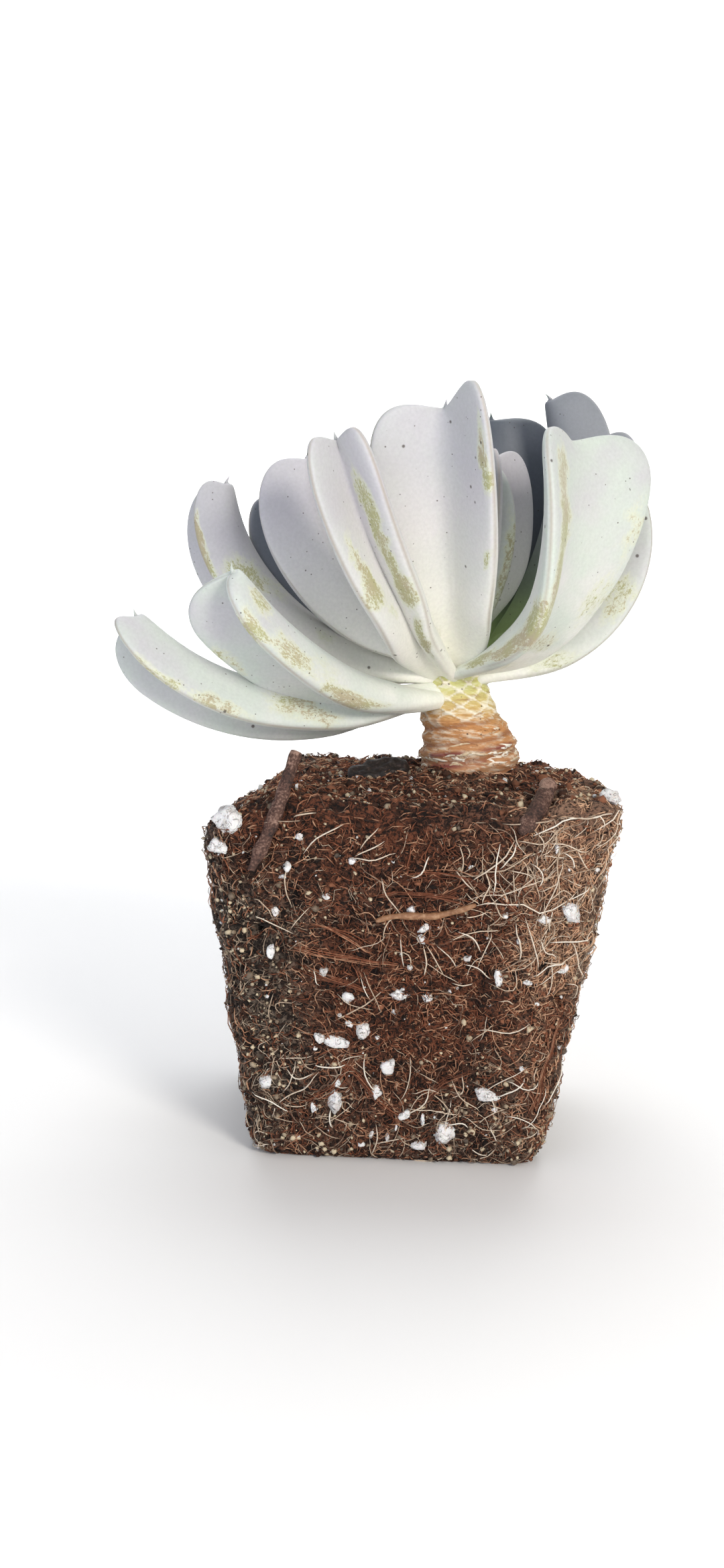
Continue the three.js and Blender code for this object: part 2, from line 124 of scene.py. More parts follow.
# One row a leaf, the front ones first. Angles in degrees: azimuth runs anticlockwise from +X, rise is the
# slope at the foot and curl is how much steeper the tip is.
LEAVES = [
    dict(azimuth=265, z=112, rise=50, curl=25, length=66, width=34, twist=5, bend=-15, fold=35, skew=0.5,
         widest=0.86, lobe=6),
    dict(azimuth=315, z=111, rise=18, curl=95, length=69, width=40, twist=-28, bend=-28, fold=20, skew=0.8,
         widest=0.88, lobe=3, lop=0.1),
    dict(azimuth=220, z=105, rise=-10, curl=60, length=72, width=25, twist=10, fold=45, skew=0.3,
         widest=0.85, curl_power=0.8, lobe=1, lop=-0.3),
    dict(azimuth=205, z=107, rise=-12, curl=60, length=80, width=24, twist=-20, bend=-10, fold=55, skew=0.8,
         widest=0.85, curl_power=1.6, lobe=3),
    dict(azimuth=190, z=110, rise=6, curl=80, length=74, width=25, bend=-15, fold=60, skew=0.4,
         curl_power=1.4, lobe=2, lop=-0.2),
    dict(azimuth=240, z=110, rise=30, curl=35, length=72, width=24, twist=-45, bend=-10, fold=55,
         widest=0.88, lop=-0.1),
    dict(azimuth=5, z=110, rise=20, curl=95, length=60, width=28, twist=-5, fold=40, curl_power=1.4),
    dict(azimuth=205, z=113, rise=30, curl=55, length=60, width=28, twist=5, bend=-20, fold=65,
         curl_power=1.4, lobe=1.5),
    dict(azimuth=300, z=118, rise=70, curl=40, length=38, width=19),
    dict(azimuth=350, z=117, rise=80, curl=15, length=44, width=27, twist=15, bend=5, fold=30, widest=0.7,
         lop=0.1),
    dict(azimuth=75, z=112, rise=43, curl=53, length=69, width=36, twist=10, fold=35, skew=0.5, lop=-0.1),
    dict(azimuth=37, z=108, rise=44, curl=68, length=77, width=34, twist=5, bend=-17, fold=65, skew=-0.6,
         base=0.26, curl_power=1.3, lobe=1.5, lop=0.2),
    dict(azimuth=170, z=110, rise=18, curl=60, length=57, width=30),
    dict(azimuth=32, z=111, rise=32, curl=60, length=70, width=28),
    dict(azimuth=140, z=109, rise=15, curl=60, length=64, width=30),
    dict(azimuth=90, z=110, rise=16, curl=66, length=70, width=32, base=0.26),
    dict(azimuth=112, z=110, rise=25, curl=55, length=68, width=32),
    dict(azimuth=240, z=117, rise=60, curl=20, length=44, width=20),
    dict(azimuth=120, z=117, rise=62, curl=20, length=50, width=24),
    dict(azimuth=180, z=118, rise=66, curl=15, length=44, width=22),
    dict(azimuth=60, z=119, rise=76, curl=8, length=30, width=16),
    dict(azimuth=95, z=121, rise=80, curl=5, length=34, width=16),
    dict(azimuth=230, z=121, rise=80, curl=5, length=32, width=15),
    dict(azimuth=330, z=121, rise=82, curl=5, length=28, width=14),
]

# How mint green a leaf is, and how much painted shade darkens its inner face to slate, for those that aren't
# plain
PLAIN_TINT = (0.2, 0.4)
TINTS = {
    1: (0.25, 0), 2: (0.85, 0), 3: (0.75, 0), 4: (0.75, 0), 5: (0.15, 0.1), 6: (0.3, 0.1), 7: (0.6, 0.1),
    8: (0.1, 0), 9: (0.8, 0), 10: (0, 0.5), 11: (0, 1), 12: (0, 0.7), 13: (0, 1), 14: (0, 0.6),
    15: (0.1, 0.6), 16: (0, 0.6), 17: (0, 0.7),
}

# Where the wax is rubbed off a leaf: along and across the blade, the face, then how far each way, and how
# much. Across runs from -1 at one margin to 1 at the other. Face 1 is the grooved outer face, -1 the inner
# one and 0 both.
RUBS = {
    1: [(0.84, 0.92, 1, 0.09, 0.1, 0.9), (0.55, 0.9, 1, 0.05, 0.06, 0.8), (0.2, -0.5, 1, 0.05, 0.2, 0.5)],
    2: [(0.87, -0.56, 1, 0.1, 0.34, 0.8), (0.74, -0.52, 1, 0.14, 0.38, 0.9),
        (0.6, -0.66, 1, 0.13, 0.36, 0.95), (0.46, -0.93, 0, 0.12, 0.22, 0.95),
        (0.33, -0.88, -1, 0.12, 0.22, 0.95), (0.18, -0.8, -1, 0.12, 0.22, 0.9),
        (0.72, 0.9, 1, 0.16, 0.2, 0.6), (0.48, 0.8, 1, 0.14, 0.3, 0.6),
        (0.3, 0.35, 1, 0.08, 0.4, 0.65), (0.15, 0.1, 1, 0.05, 0.4, 0.6)],
    3: [(0.9, 0.35, -1, 0.07, 0.4, 0.75), (0.86, 0.9, 0, 0.08, 0.2, 0.9),
        (0.72, 0.75, -1, 0.12, 0.35, 0.8), (0.45, 0.85, -1, 0.18, 0.24, 0.9),
        (0.58, 0.5, -1, 0.1, 0.35, 0.55), (0.75, -0.95, 1, 0.1, 0.12, 0.7)],
    4: [(0.71, 0.93, -1, 0.12, 0.16, 0.75), (0.5, 0.62, -1, 0.1, 0.3, 0.8), (0.42, 0.86, -1, 0.09, 0.2, 0.7),
        (0.85, 1.0, 0, 0.08, 0.12, 0.7)],
    5: [(0.7, 0.5, -1, 0.1, 0.45, 0.8), (0.62, 0.15, -1, 0.08, 0.2, 0.6), (0.82, 0.97, 0, 0.1, 0.1, 1.0),
        (0.4, 0.3, -1, 0.05, 0.3, 0.55)],
    6: [(0.84, 0.56, 1, 0.1, 0.26, 0.85), (0.74, 0.64, 1, 0.13, 0.24, 0.95),
        (0.61, 0.72, 1, 0.13, 0.2, 0.9), (0.52, 0.8, 1, 0.1, 0.28, 1.0), (0.3, 0.82, 1, 0.13, 0.22, 0.95),
        (0.59, -0.8, 1, 0.1, 0.2, 1.0), (0.68, -0.82, 1, 0.08, 0.12, 0.8),
        (0.77, -0.78, 1, 0.03, 0.15, 0.6), (0.45, -0.6, 1, 0.05, 0.2, 0.6)],
    7: [(0.6, -0.8, 0, 0.12, 0.3, 0.7), (0.29, -0.9, 0, 0.12, 0.2, 0.7)],
    9: [(0.5, 0.95, 0, 0.35, 0.16, 0.75)],
}
RAGGED = 0.09  # how far the edge of a rubbed patch wanders across the blade
MARGIN_RUB = 0.3  # faint rubbing along every margin

# Things in the soil, as the solids have them
TWIGS = {
    "twig_left": ((-34.6, -48, 69), (-25.6, -42.5, 94.5), 1.5),
    "twig_right": ((23.3, -48.5, 80.3), (30.3, -34, 89), 2.0),
}
CHIP = {"at": (-7.5, -6, 85.8), "long": 14, "wide": 8, "thick": 2, "turn": (0.35, -0.12, 0.3)}
LONG_ROOT = {"route": ((-7, 60.8), (-1, 61.8), (6, 62.2), (14, 64.3)), "proud": 0.5, "radius": 0.8}
ROD_STEPS = 48  # rings along a twig and the thick root
CUT_END = 0.4  # depth of the pale wood at the cut end of a twig

# Perlite: x and z on the front face, how far its middle stands proud, and its width, depth and height
PERLITE_NODES = [
    (-40.2, 79.5, -1.3, 6, 5, 5.5),
    (28.2, 60.6, -0.5, 5, 4, 5),
    (20, 17.5, -0.5, 7, 4, 3.6),
    (-14, 15.5, -0.5, 4, 4, 6.4),
    (10.5, 8.5, -0.5, 5.4, 4, 4.8),
    (43.2, 87, -8.0, 4.2, 4, 3.6),
    (-1, 41.6, -0.5, 5.2, 4, 2.8),
    (-42, 73, -0.9, 3.8, 4, 3.8),
]
# The smaller lumps on the front face: x, z, width and height
PERLITE_SMALL = [
    (-26.8, 73, 1.9, 2.8), (-27.6, 70.4, 1.9, 1.4), (-29.5, 61.9, 2, 2.6), (-29.8, 52.4, 1.7, 2.9),
    (-18.1, 64.8, 1.8, 1.2), (-18.1, 46.7, 2.2, 2.1), (-24.8, 79.2, 2, 1.6), (-12.6, 74, 1.5, 2),
    (0.7, 62.9, 2, 2.1), (3.6, 59, 2.8, 2.8), (3, 56.4, 1.6, 2), (20.8, 63, 1.2, 1.2), (35.6, 62, 3.8, 4.6),
    (24, 56.6, 1.2, 1.3), (13.9, 51.4, 2.1, 2.1), (20.6, 47.2, 2, 3.6), (27, 46.8, 1.7, 1.6),
    (35.4, 48.6, 2.2, 2.2), (31.9, 76.8, 1.4, 2), (43, 71, 1.1, 1.6), (0.9, 49.4, 1.5, 1.5),
    (-12.4, 41, 2, 2.1), (5, 41.8, 1.9, 1.8), (-12, 34.6, 1.6, 1.4), (-8.6, 33.2, 3.7, 3.1),
    (-14.5, 30.4, 5, 2.7), (-18.4, 31, 2.2, 2.6), (-14.2, 36.6, 1.1, 1.1), (-19, 28.4, 1.1, 1.1),
    (-5.6, 31.4, 1, 1), (10, 44, 1.1, 1.1), (29.4, 41.4, 1.1, 1.2), (-2.8, 24.4, 3.8, 3.3),
    (27.1, 25.5, 1.5, 1.5), (-29.9, 19, 3, 3.4), (-5.2, 17.5, 3.7, 3.4), (-14, 20, 1.5, 2),
    (1.6, 12.4, 2.3, 2), (5.6, 11.5, 1.5, 3), (8.6, 12.2, 1.3, 1.5), (5.4, 5.2, 3.4, 1.9),
    (-0.4, 9, 1.3, 2.1), (-2.2, 6.6, 1.2, 1.8), (-5.8, 6.8, 1.2, 1.7), (-8, 4.4, 1.4, 1.6),
    (-18.8, 13.3, 1.8, 2.2), (21.6, 14.8, 1.4, 1.2), (-22, 6, 1.2, 1.2), (33, 9, 1.2, 1.4),
]

# Pale roots that stand out on the front face, as routes of x and z
THREADS = [
    ((-23.5, 75), (-19, 79), (-15, 82)), ((-26, 84), (-23.6, 85.6), (-21, 86)),
    ((-13, 74.4), (-8, 75.4), (-3.4, 76)), ((-11, 77), (-9.4, 80), (-7.6, 82.6)),
    ((-12, 75), (-8, 78.4), (-6, 79.4)), ((-26.3, 73.6), (-26.6, 68), (-25.4, 62.4)),
    ((-25.6, 57), (-23, 60), (-21.4, 62.2)), ((-10, 46.6), (-8.4, 43), (-7.4, 41)),
    ((12.4, 69.4), (18, 74.4), (22, 80.4)), ((22, 80.4), (26.4, 79.6), (31, 82)),
    ((15, 71.4), (20.6, 74), (26, 77.4)), ((12.4, 65.4), (19, 67.6), (28.4, 71.4)),
    ((13, 64), (22, 66), (30, 63.4), (37, 67.4)), ((24.6, 62.4), (26, 57), (28.4, 50)),
    ((33.4, 58.6), (28, 54.4), (25.4, 50.6), (20.8, 49)), ((28, 45.6), (31, 47), (34.6, 49.4)),
    ((23, 61), (23.6, 56), (24.4, 52)), ((32, 77.6), (31.4, 71), (32, 66)),
    ((19, 84), (24, 85.6), (30, 87)), ((-34, 66), (-31, 64.6), (-29.4, 60)),
    ((3.6, 55), (4.4, 50.4), (4, 47)), ((-1.6, 57), (-1, 52), (-0.4, 49)),
    ((-15.4, 35), (-10, 38.6), (-3.6, 44.4)), ((-9, 48), (-6.6, 43), (-4.6, 37.4)),
]

# Bundles of red coir that run together on the front face, as routes of x and z
BUNDLES = [
    ((-27, 53.4), (-18, 51), (-8, 50.4), (0, 48.6)), ((-20, 58), (-14, 56), (-7, 53)),
    ((-6, 43), (-14, 44.6), (-24, 48)), ((5, 66), (14, 69), (20, 66), (26, 60)),
    ((-16, 26), (-10, 22), (-4, 15), (4, 10)), ((-22, 14), (-15, 19), (-11, 25)),
    ((16, 25), (9, 21), (4, 15)), ((20, 27), (27, 22), (31, 14)), ((30, 12), (32, 22), (36, 36)),
    ((-3, 70), (4, 72), (12, 71), (18, 67)), ((-9, 66), (0, 67), (9, 66), (14, 63)),
]

# Root threads and fibres that cover the ball: how many, and their length and radius. Places around the
# ball are counted in sides from the middle of the front.
AROUND = {"sides": (-0.5, 3.5), "front": (-0.5, 0.5), "behind": (0.5, 3.5)}
SHARES = {"sides": 0.72, "front": 0.48, "top": 0.34, "under": 0.06}  # of a count that each place gets
FIBRE_STEPS = 4
THREAD_STEPS = 8
COIR = {"count": 5400, "length": (1.2, 4.6), "radius": (0.08, 0.21), "curl": 1.9, "lift": (-0.1, 0.9)}
COIR_LONG = {"count": 650, "length": (5, 14), "radius": (0.09, 0.18), "curl": 1.2, "lift": (0.2, 1.0)}
HAIRS = {"count": 2900, "length": (1.5, 7), "radius": (0.05, 0.12), "curl": 1.4, "lift": (0.2, 1.1)}
DULL_ROOTS = {"count": 240, "length": (4, 11), "radius": (0.06, 0.1), "curl": 1.0, "lift": (0.4, 1.1)}
MATTED_ROOTS = {"count": 380, "length": (3, 11), "radius": (0.07, 0.14), "curl": 0.9, "lift": (0.4, 1.4)}
WHITE_ROOTS = {"count": 60, "length": (4, 13), "radius": (0.11, 0.18), "curl": 0.6, "lift": (0.9, 1.7)}
FRONT_COIR = 2800  # more fibres that are tried on the front, and kept where it is tan
TRIES = 8  # roots tried for each one wanted, because most fall where few roots are
BUNDLE_STRANDS = 8

# Grains that cover the ball: how many, the shape and scale of the spread of their sizes, and its limits
GRIT = {"count": 3000, "spread": (2.5, 0.26), "limits": (0.3, 1.9)}
PEAT = {"count": 7200, "spread": (2.2, 0.34), "limits": (0.35, 2.3), "side_limit": 1.6, "top_growth": 1.3}
PERLITE_DUST = {"count": 600, "spread": (2.0, 0.36), "limits": (0.3, 3.4), "front_growth": 0.55}
TOP_REACH = 44  # grains on the top lie this far out
TOP_LUMP_Y = -38  # a large lump of perlite above the rim lies this far forward
ROCK_CUTS = 11  # flat breaks on a lump of perlite or grit
SEEDS = {"fibres": 11, "grains": 23, "flakes": 5}

# Dark, middle and pale tone of the materials that are plain
TONES = {
    "grit": ("#2B221C", "#7D6C59", "#CDBD9F"),
    "peat_crumb": ("#150C08", "#432A1E", "#86573F"),
    "twig": ("#1F1310", "#54392F", "#97796A"),
    "thick_root": ("#633F2C", "#8F6647", "#C2A080"),
    "chip": ("#120D0B", "#2C211D", "#6E625C"),
    "flake": ("#A97E5C", "#D9C3A0", "#F6F0E2"),
}

# Stage, in metres
FLOOR_HALF_WIDTH = 3
FLOOR_NEAR = -1.2
FLOOR_RUN = 3.2
FLOOR_BEND_START = 0.9
FLOOR_BEND_RUN = 0.9
FLOOR_BEND_RADIUS = 0.57
WORLD = {"colour": "#EDEFF5", "strength": 0.44}
LIGHTS = {
    "key": {"at": (0.32, -0.68, 0.35), "size": 0.2, "colour": "#FFF9F0", "target": (0, 0, 0.09)},
    "fill": {"at": (-0.45, -0.75, 0.15), "size": 0.6, "colour": "#E3EBFF", "target": (0, 0, 0.09)},
    "top": {"at": (0, 0.45, 0.9), "size": 0.8, "colour": "#FFFFFF", "target": (0, 0.1, 0)},
    "backdrop_wash": {"at": (0, 0.9, 1.1), "size": 1.0, "colour": "#FFFFFF", "target": (0, 1.9, 0.5)},
}

# Camera, in millimetres and degrees: tilt is from straight down, roll is about its own axis
CAMERA = {"at": (-11.5, -400, 134), "tilt": 82.7, "roll": 2.6, "lens": 38.154, "sensor": 36}


def srgb(code):
    """Turns an sRGB hex colour to the linear values that Blender's colours hold."""
    channels = [int(code[i : i + 2], 16) / 255 for i in (1, 3, 5)]
    linear = [c / 12.92 if c <= 0.04045 else ((c + 0.055) / 1.055) ** 2.4 for c in channels]
    return (*linear, 1.0)


def size_property(name, about, value):
    """A length in metres, from millimetres."""
    return bpy.props.FloatProperty(
        name=name, description=about, default=value * MM, unit="LENGTH", precision=5
    )


def colour_property(name, about, code):
    return bpy.props.FloatVectorProperty(
        name=name, description=about, default=srgb(code), size=4, min=0, max=1, subtype="COLOR"
    )


class LeafSettings(bpy.types.PropertyGroup):
    thick: size_property("Thickness", "Thickness of a leaf at its middle", 7)
    point: size_property("Point", "Length of the small point at the tip", 2.5)
    groove: bpy.props.FloatProperty(
        name="Groove softness", description="Larger rounds the groove more", default=0.5, min=0.05
    )
    bloom: colour_property("Bloom", "The pale wax towards the tip of a leaf", "#C2BFC5")
    bloom_foot: colour_property("Bloom at the foot", "The thick creamy wax near the stem", "#F8F7EC")
    shade: colour_property("Bloom, cooler", "Where the wax is thinner", "#C6D0C6")
    rubbed: colour_property("Rubbed wax", "Where handling has rubbed the wax thin", "#D2D5C0")
    fleck: colour_property("Flecks", "Bare flecks inside the rubbed patches", "#A09E66")
    fleck_tan: colour_property("Tan flecks", "Bare flecks where the skin has dried", "#A79777")
    inner: colour_property("Inner face", "The inner face of the leaves at the centre", "#A9ACB2")
    inner_foot: colour_property("Inner face at the foot", "Bare green skin deep in the rosette", "#A6C070")
    margin: colour_property("Margin", "The thin edge of a leaf", "#A69A8C")
    # Painted shade: this slate darkens the leaves that stand in shade, most of all on their inner face.
    slate: colour_property("Slate skin", "Where little wax is left on the leaves behind", "#565D66")
    speck: colour_property("Specks", "Tiny dark marks", "#3B2A22")


class StemSettings(bpy.types.PropertyGroup):
    ring_spacing: size_property("Ring spacing", "Distance between the old leaf scars", 4)
    ring_relief: size_property("Ring relief", "Height of the rings", 0.4)
    scar_height: size_property("Scar height", "Height of a fresh leaf scar", 3.7)
    net_relief: size_property("Net relief", "How far the net round the scars stands up", 0.5)
    low: colour_property("Foot", "Skin at the foot", "#BC8E6C")
    middle: colour_property("Middle", "Skin on the old rings", "#CB925A")
    high: colour_property("Neck", "Fresh leaf scars", "#CFCD86")
    net: colour_property("Net", "Raised net and papery flakes", "#F3EDD8")
    streak: colour_property("Streaks", "Dark red streaks under the flakes", "#7A2F33")
    # Painted shade: this colour darkens the grooves between the rings and the low streaks of the relief.
    hollow: colour_property("Hollows", "Skin in the grooves", "#8A5331")
    seam: colour_property("Seams", "Thin dark folds between the rings", "#6A3E28")
    speck: colour_property("Specks", "Tiny dark marks", "#2A1C16")


class BallSettings(bpy.types.PropertyGroup):
    # Painted shade: besides being the darkest peat, this colour fills the gaps and hollows between the
    # crumbs.
    dark: colour_property("Wet peat", "The dark of the gaps", "#120A07")
    brown: colour_property("Peat", "The body of the mix", "#3C241A")
    red: colour_property("Red coir", "Coir dust in the mix", "#7E4A33")
    grit: colour_property("Gritty peat", "Where fine grit and roots fill the mix", "#2B211B")
    grit_pale: colour_property("Pale grit", "The lightest grains of the grit", "#76685B")
    tan: colour_property("Tan roots", "Where fine tan roots cover the mix", "#B8937A")
    coir_dark: colour_property("Dark coir", "The darkest fibres", "#26160F")
    coir: colour_property("Coir", "Most fibres", "#8A5238")
    coir_pale: colour_property("Pale coir", "The lightest fibres", "#CDA585")
    root: colour_property("Fine roots", "Pale root threads", "#C9B49C")
    root_pale: colour_property("White roots", "The lightest root threads", "#EDE6D8")
    root_dull: colour_property("Dull roots", "Old root threads", "#6E5545")
    perlite: colour_property("Perlite", "Puffed white mineral", "#E4E3E2")
    perlite_dull: colour_property("Stained perlite", "Where soil has stained it", "#B7B0AA")
    perlite_crack: colour_property("Cracks in perlite", "Soil in its cracks", "#4F4640")
    perlite_pore: colour_property("Pores in perlite", "Shade in its pores", "#4A4038")


class StageSettings(bpy.types.PropertyGroup):
    floor: colour_property("Floor", "Pale floor and backdrop", "#FCFCFB")
    key: bpy.props.FloatProperty(
        name="Key light", description="Power of the low soft light at the right", default=3.9, unit="POWER"
    )
    fill: bpy.props.FloatProperty(
        name="Fill light", description="Power of the soft light at the left", default=2.5, unit="POWER"
    )
    top: bpy.props.FloatProperty(
        name="Top light", description="Power of the soft light above and behind", default=5.5, unit="POWER"
    )
    backdrop_wash: bpy.props.FloatProperty(
        name="Backdrop light", description="Power of the light on the backdrop", default=18, unit="POWER"
    )


# Small helpers


def smooth(value):
    value = np.clip(value, 0, 1)
    return value * value * (3 - 2 * value)


def signed_power(value, power):
    return np.sign(value) * np.abs(value) ** power


def scatter(i, j, k):
    """A number from 0 to 1 for each cell, always the same for the same cell."""
    value = np.sin(i * 127.1 + j * 311.7 + k * 74.7) * 43758.5453
    return value - np.floor(value)


def lumps(x, y, z, size):
    """Smooth lumpy noise between -1 and 1, with lumps of about the given size."""
    cells = [np.floor(np.asarray(axis, float) / size) for axis in (x, y, z)]
    parts = [np.asarray(axis, float) / size - cell for axis, cell in zip((x, y, z), cells)]
    total = 0.0
    for corner in range(8):
        steps = (corner & 1, (corner >> 1) & 1, corner >> 2)
        near = [smooth(1 - np.abs(part - step)) for part, step in zip(parts, steps)]
        value = scatter(*(cell + step for cell, step in zip(cells, steps)))
        total = total + near[0] * near[1] * near[2] * value
    return total * 2 - 1


def unit(vectors):
    """The vectors, each with a length of 1."""
    return vectors / np.maximum(np.linalg.norm(vectors, axis=-1, keepdims=True), 1e-9)


def primitive(add, **settings):
    """Adds a primitive with nothing else selected, with its place in its mesh."""
    bpy.ops.object.select_all(action="DESELECT")
    add(**settings)
    bpy.ops.object.transform_apply(location=True, rotation=True, scale=True)
    return bpy.context.object


def subdivide(piece, cuts, wanted=None):
    """Cuts the wanted edges of a piece, or all of them."""
    bpy.ops.object.mode_set(mode="EDIT")
    bpy.ops.mesh.select_mode(type="EDGE")
    bpy.ops.mesh.select_all(action="SELECT")
    if wanted is not None:
        mesh = bmesh.from_edit_mesh(piece.data)
        for edge in mesh.edges:
            edge.select_set(wanted(edge))
        mesh.select_flush_mode()
        bmesh.update_edit_mesh(piece.data)
    for number in cuts:
        bpy.ops.mesh.subdivide(number_cuts=number)
    bpy.ops.object.mode_set(mode="OBJECT")


def points_of(piece):
    """The points of a piece, as Blender has them."""
    flat = np.empty(len(piece.data.vertices) * 3)
    piece.data.vertices.foreach_get("co", flat)
    return flat.reshape(-1, 3)


def put_points(piece, points):
    """Gives a piece its points, from millimetres, and turns its faces outwards."""
    piece.data.vertices.foreach_set("co", (points * MM).ravel())
    bpy.ops.object.mode_set(mode="EDIT")
    bpy.ops.mesh.select_all(action="SELECT")
    bpy.ops.mesh.normals_make_consistent(inside=False)
    bpy.ops.object.mode_set(mode="OBJECT")


def mark(piece, name, values):
    """Keeps one number or one vector for each point, for the material to read."""
    values = np.ascontiguousarray(values, dtype=np.float32)
    kind, field = ("FLOAT", "value") if values.ndim == 1 else ("FLOAT_VECTOR", "vector")
    piece.data.attributes.new(name, kind, "POINT").data.foreach_set(field, values.ravel())


def finish_piece(piece, name, material, nodes=()):
    """Names a piece, gives it its material, puts it under the body and hides the solids that it stands in
    for.
    """
    piece.name = name
    piece.data.name = name
    piece.data.materials.clear()
    piece.data.materials.append(material)
    piece.data.shade_smooth()
    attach(piece, BODY)
    if nodes:
        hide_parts(*nodes)
    return piece


def rod_template(sides, steps):
    """A closed rod along Z from 0 to 1, with a ring of points at each step."""
    rod = primitive(
        bpy.ops.mesh.primitive_cylinder_add, vertices=sides, radius=1, depth=1, location=(0, 0, 0.5)
    )
    subdivide(rod, [steps - 2], lambda edge: abs(edge.verts[0].co.z - edge.verts[1].co.z) > 0.5)
    return rod


def grain_template(detail):
    """A round grain, 1 across."""
    return primitive(bpy.ops.mesh.primitive_ico_sphere_add, subdivisions=detail, radius=0.5)


def copies(template, name, points):
    """One mesh that holds a copy of the template for each set of points, in millimetres."""
    mesh = template.data
    flat = np.empty(len(mesh.loops), np.int32)
    mesh.loops.foreach_get("vertex_index", flat)
    start = np.empty(len(mesh.polygons), np.int32)
    mesh.polygons.foreach_get("loop_start", start)
    turn = np.arange(len(points))[:, None]
    corners = (flat[None, :] + turn * len(mesh.vertices)).ravel()
    starts = (start[None, :] + turn * len(flat)).ravel()
    joined = bpy.data.meshes.new(name)
    joined.vertices.add(points.shape[0] * points.shape[1])
    joined.vertices.foreach_set("co", (points * MM).ravel())
    joined.loops.add(len(corners))
    joined.loops.foreach_set("vertex_index", corners)
    joined.polygons.add(len(starts))
    joined.polygons.foreach_set("loop_start", starts)
    joined.update(calc_edges=True)
    joined.validate()
    piece = bpy.data.objects.new(name, joined)
    bpy.context.scene.collection.objects.link(piece)
    bpy.data.objects.remove(template)
    return piece


def bent_rod(rod, line, girth, away):
    """One round rod bent along a line, with its half width at each step."""
    away = np.tile(np.asarray(away, float), (1, len(line), 1))
    return lay_along(rod, line[None], girth[None], girth[None], away)[0]


def lay_along(template, paths, wide, high, away):
    """Bends a rod along each path. wide and high are its half sizes at each step, away is what it lies on."""
    shape = points_of(template)
    ring = np.rint(shape[:, 2] * (paths.shape[1] - 1)).astype(int)
    ahead = unit(np.gradient(paths, axis=1))
    side = unit(np.cross(ahead, away))
    up = np.cross(side, ahead)
    across = shape[None, :, 0:1] * wide[:, ring, None] * side[:, ring]
    above = shape[None, :, 1:2] * high[:, ring, None] * up[:, ring]
    return paths[:, ring] + across + above


def through(points, steps):
    """Evenly spaced points on a smooth curve through a few points."""
    points = np.asarray(points, float)
    knots = np.concatenate([[0], np.cumsum(np.linalg.norm(np.diff(points, axis=0), axis=1))])
    slopes = np.gradient(points, knots, axis=0)
    at = np.linspace(0, knots[-1], steps)
    low = np.clip(np.searchsorted(knots, at, side="right") - 1, 0, len(points) - 2)
    span = (knots[low + 1] - knots[low])[:, None]
    t = (at - knots[low])[:, None] / span
    start = points[low] * (1 + 2 * t) * (1 - t) ** 2 + slopes[low] * span * t * (1 - t) ** 2
    end = points[low + 1] * t * t * (3 - 2 * t) - slopes[low + 1] * span * t * t * (1 - t)
    return start + end


# Materials


def add_node(tree, kind, links, out=0, stops=(), **settings):
    """Adds a node with its settings, fills or links its inputs, and gives an output, by name or number."""
    node = tree.nodes.new("ShaderNode" + kind)
    for name, value in settings.items():
        setattr(node, name, value)
    for place, _ in stops[2:]:
        node.color_ramp.elements.new(place)
    for element, (place, colour) in zip(node.color_ramp.elements if stops else (), stops):
        element.position = place
        element.color = colour
    for socket, value in links.items():
        if isinstance(value, bpy.types.NodeSocket):
            tree.links.new(value, node.inputs[socket])
        else:
            node.inputs[socket].default_value = value
    return node.outputs[out]


def new_material(name, **sockets):
    """A material with the given constants on its shader, its node tree, and places in object space."""
    material = bpy.data.materials.new(name)
    material.use_nodes = True
    tree = material.node_tree
    for socket, value in sockets.items():
        tree.nodes["Principled BSDF"].inputs[socket.replace("_", " ")].default_value = value
    return material, tree, add_node(tree, "TexCoord", {}, out="Object")


def finish_material(material, colour, height=0.0, strength=0.0, depth=0.0):
    """Links the colour of a material and its relief, whose depth is in millimetres."""
    tree = material.node_tree
    relief = {"Height": height, "Strength": strength, "Distance": depth * MM}
    surface = tree.nodes["Principled BSDF"]
    tree.links.new(colour, surface.inputs["Base Color"])
    if strength:
        tree.links.new(add_node(tree, "Bump", relief), surface.inputs["Normal"])
    return material


def layered(tree, colour, layers):
    """Lays colours over one another, each as far as its share goes."""
    for share, over in layers:
        colour = add_node(tree, "Mix", {0: share, 6: colour, 7: over}, data_type="RGBA", out=2)
    return colour


def per_metre(size):
    """Texture scale for a pattern that repeats every so many millimetres."""
    return 1 / (size * MM)


def thin_lines(tree, noise, level, width, core=0.0, strength=1.0):
    """Fine wandering lines, where a noise crosses a level. They are full to the core, gone at the width."""
    off = add_node(tree, "Math", {0: noise, 1: level}, operation="SUBTRACT")
    off = add_node(tree, "Math", {0: off}, operation="ABSOLUTE")
    return add_node(
        tree, "MapRange", {"Value": off, "From Min": width, "From Max": core, "To Max": strength}
    )


def specks(tree, place, size, share, width, edge):
    """Round dots in some cells of a pattern. share is the part of the cells that have none."""
    distance = add_node(tree, "TexVoronoi", {"Vector": place, "Scale": per_metre(size), "Randomness": 1})
    chosen = add_node(tree, "SeparateColor", {0: distance.node.outputs["Color"]})
    chosen = add_node(tree, "Math", {0: chosen, 1: share}, operation="GREATER_THAN")
    reach = {"From Min": width, "From Max": edge, "To Min": 0.8, "To Max": 0.0}
    dot = add_node(tree, "MapRange", {"Value": distance, **reach})
    return add_node(tree, "Math", {0: dot, 1: chosen}, operation="MULTIPLY")


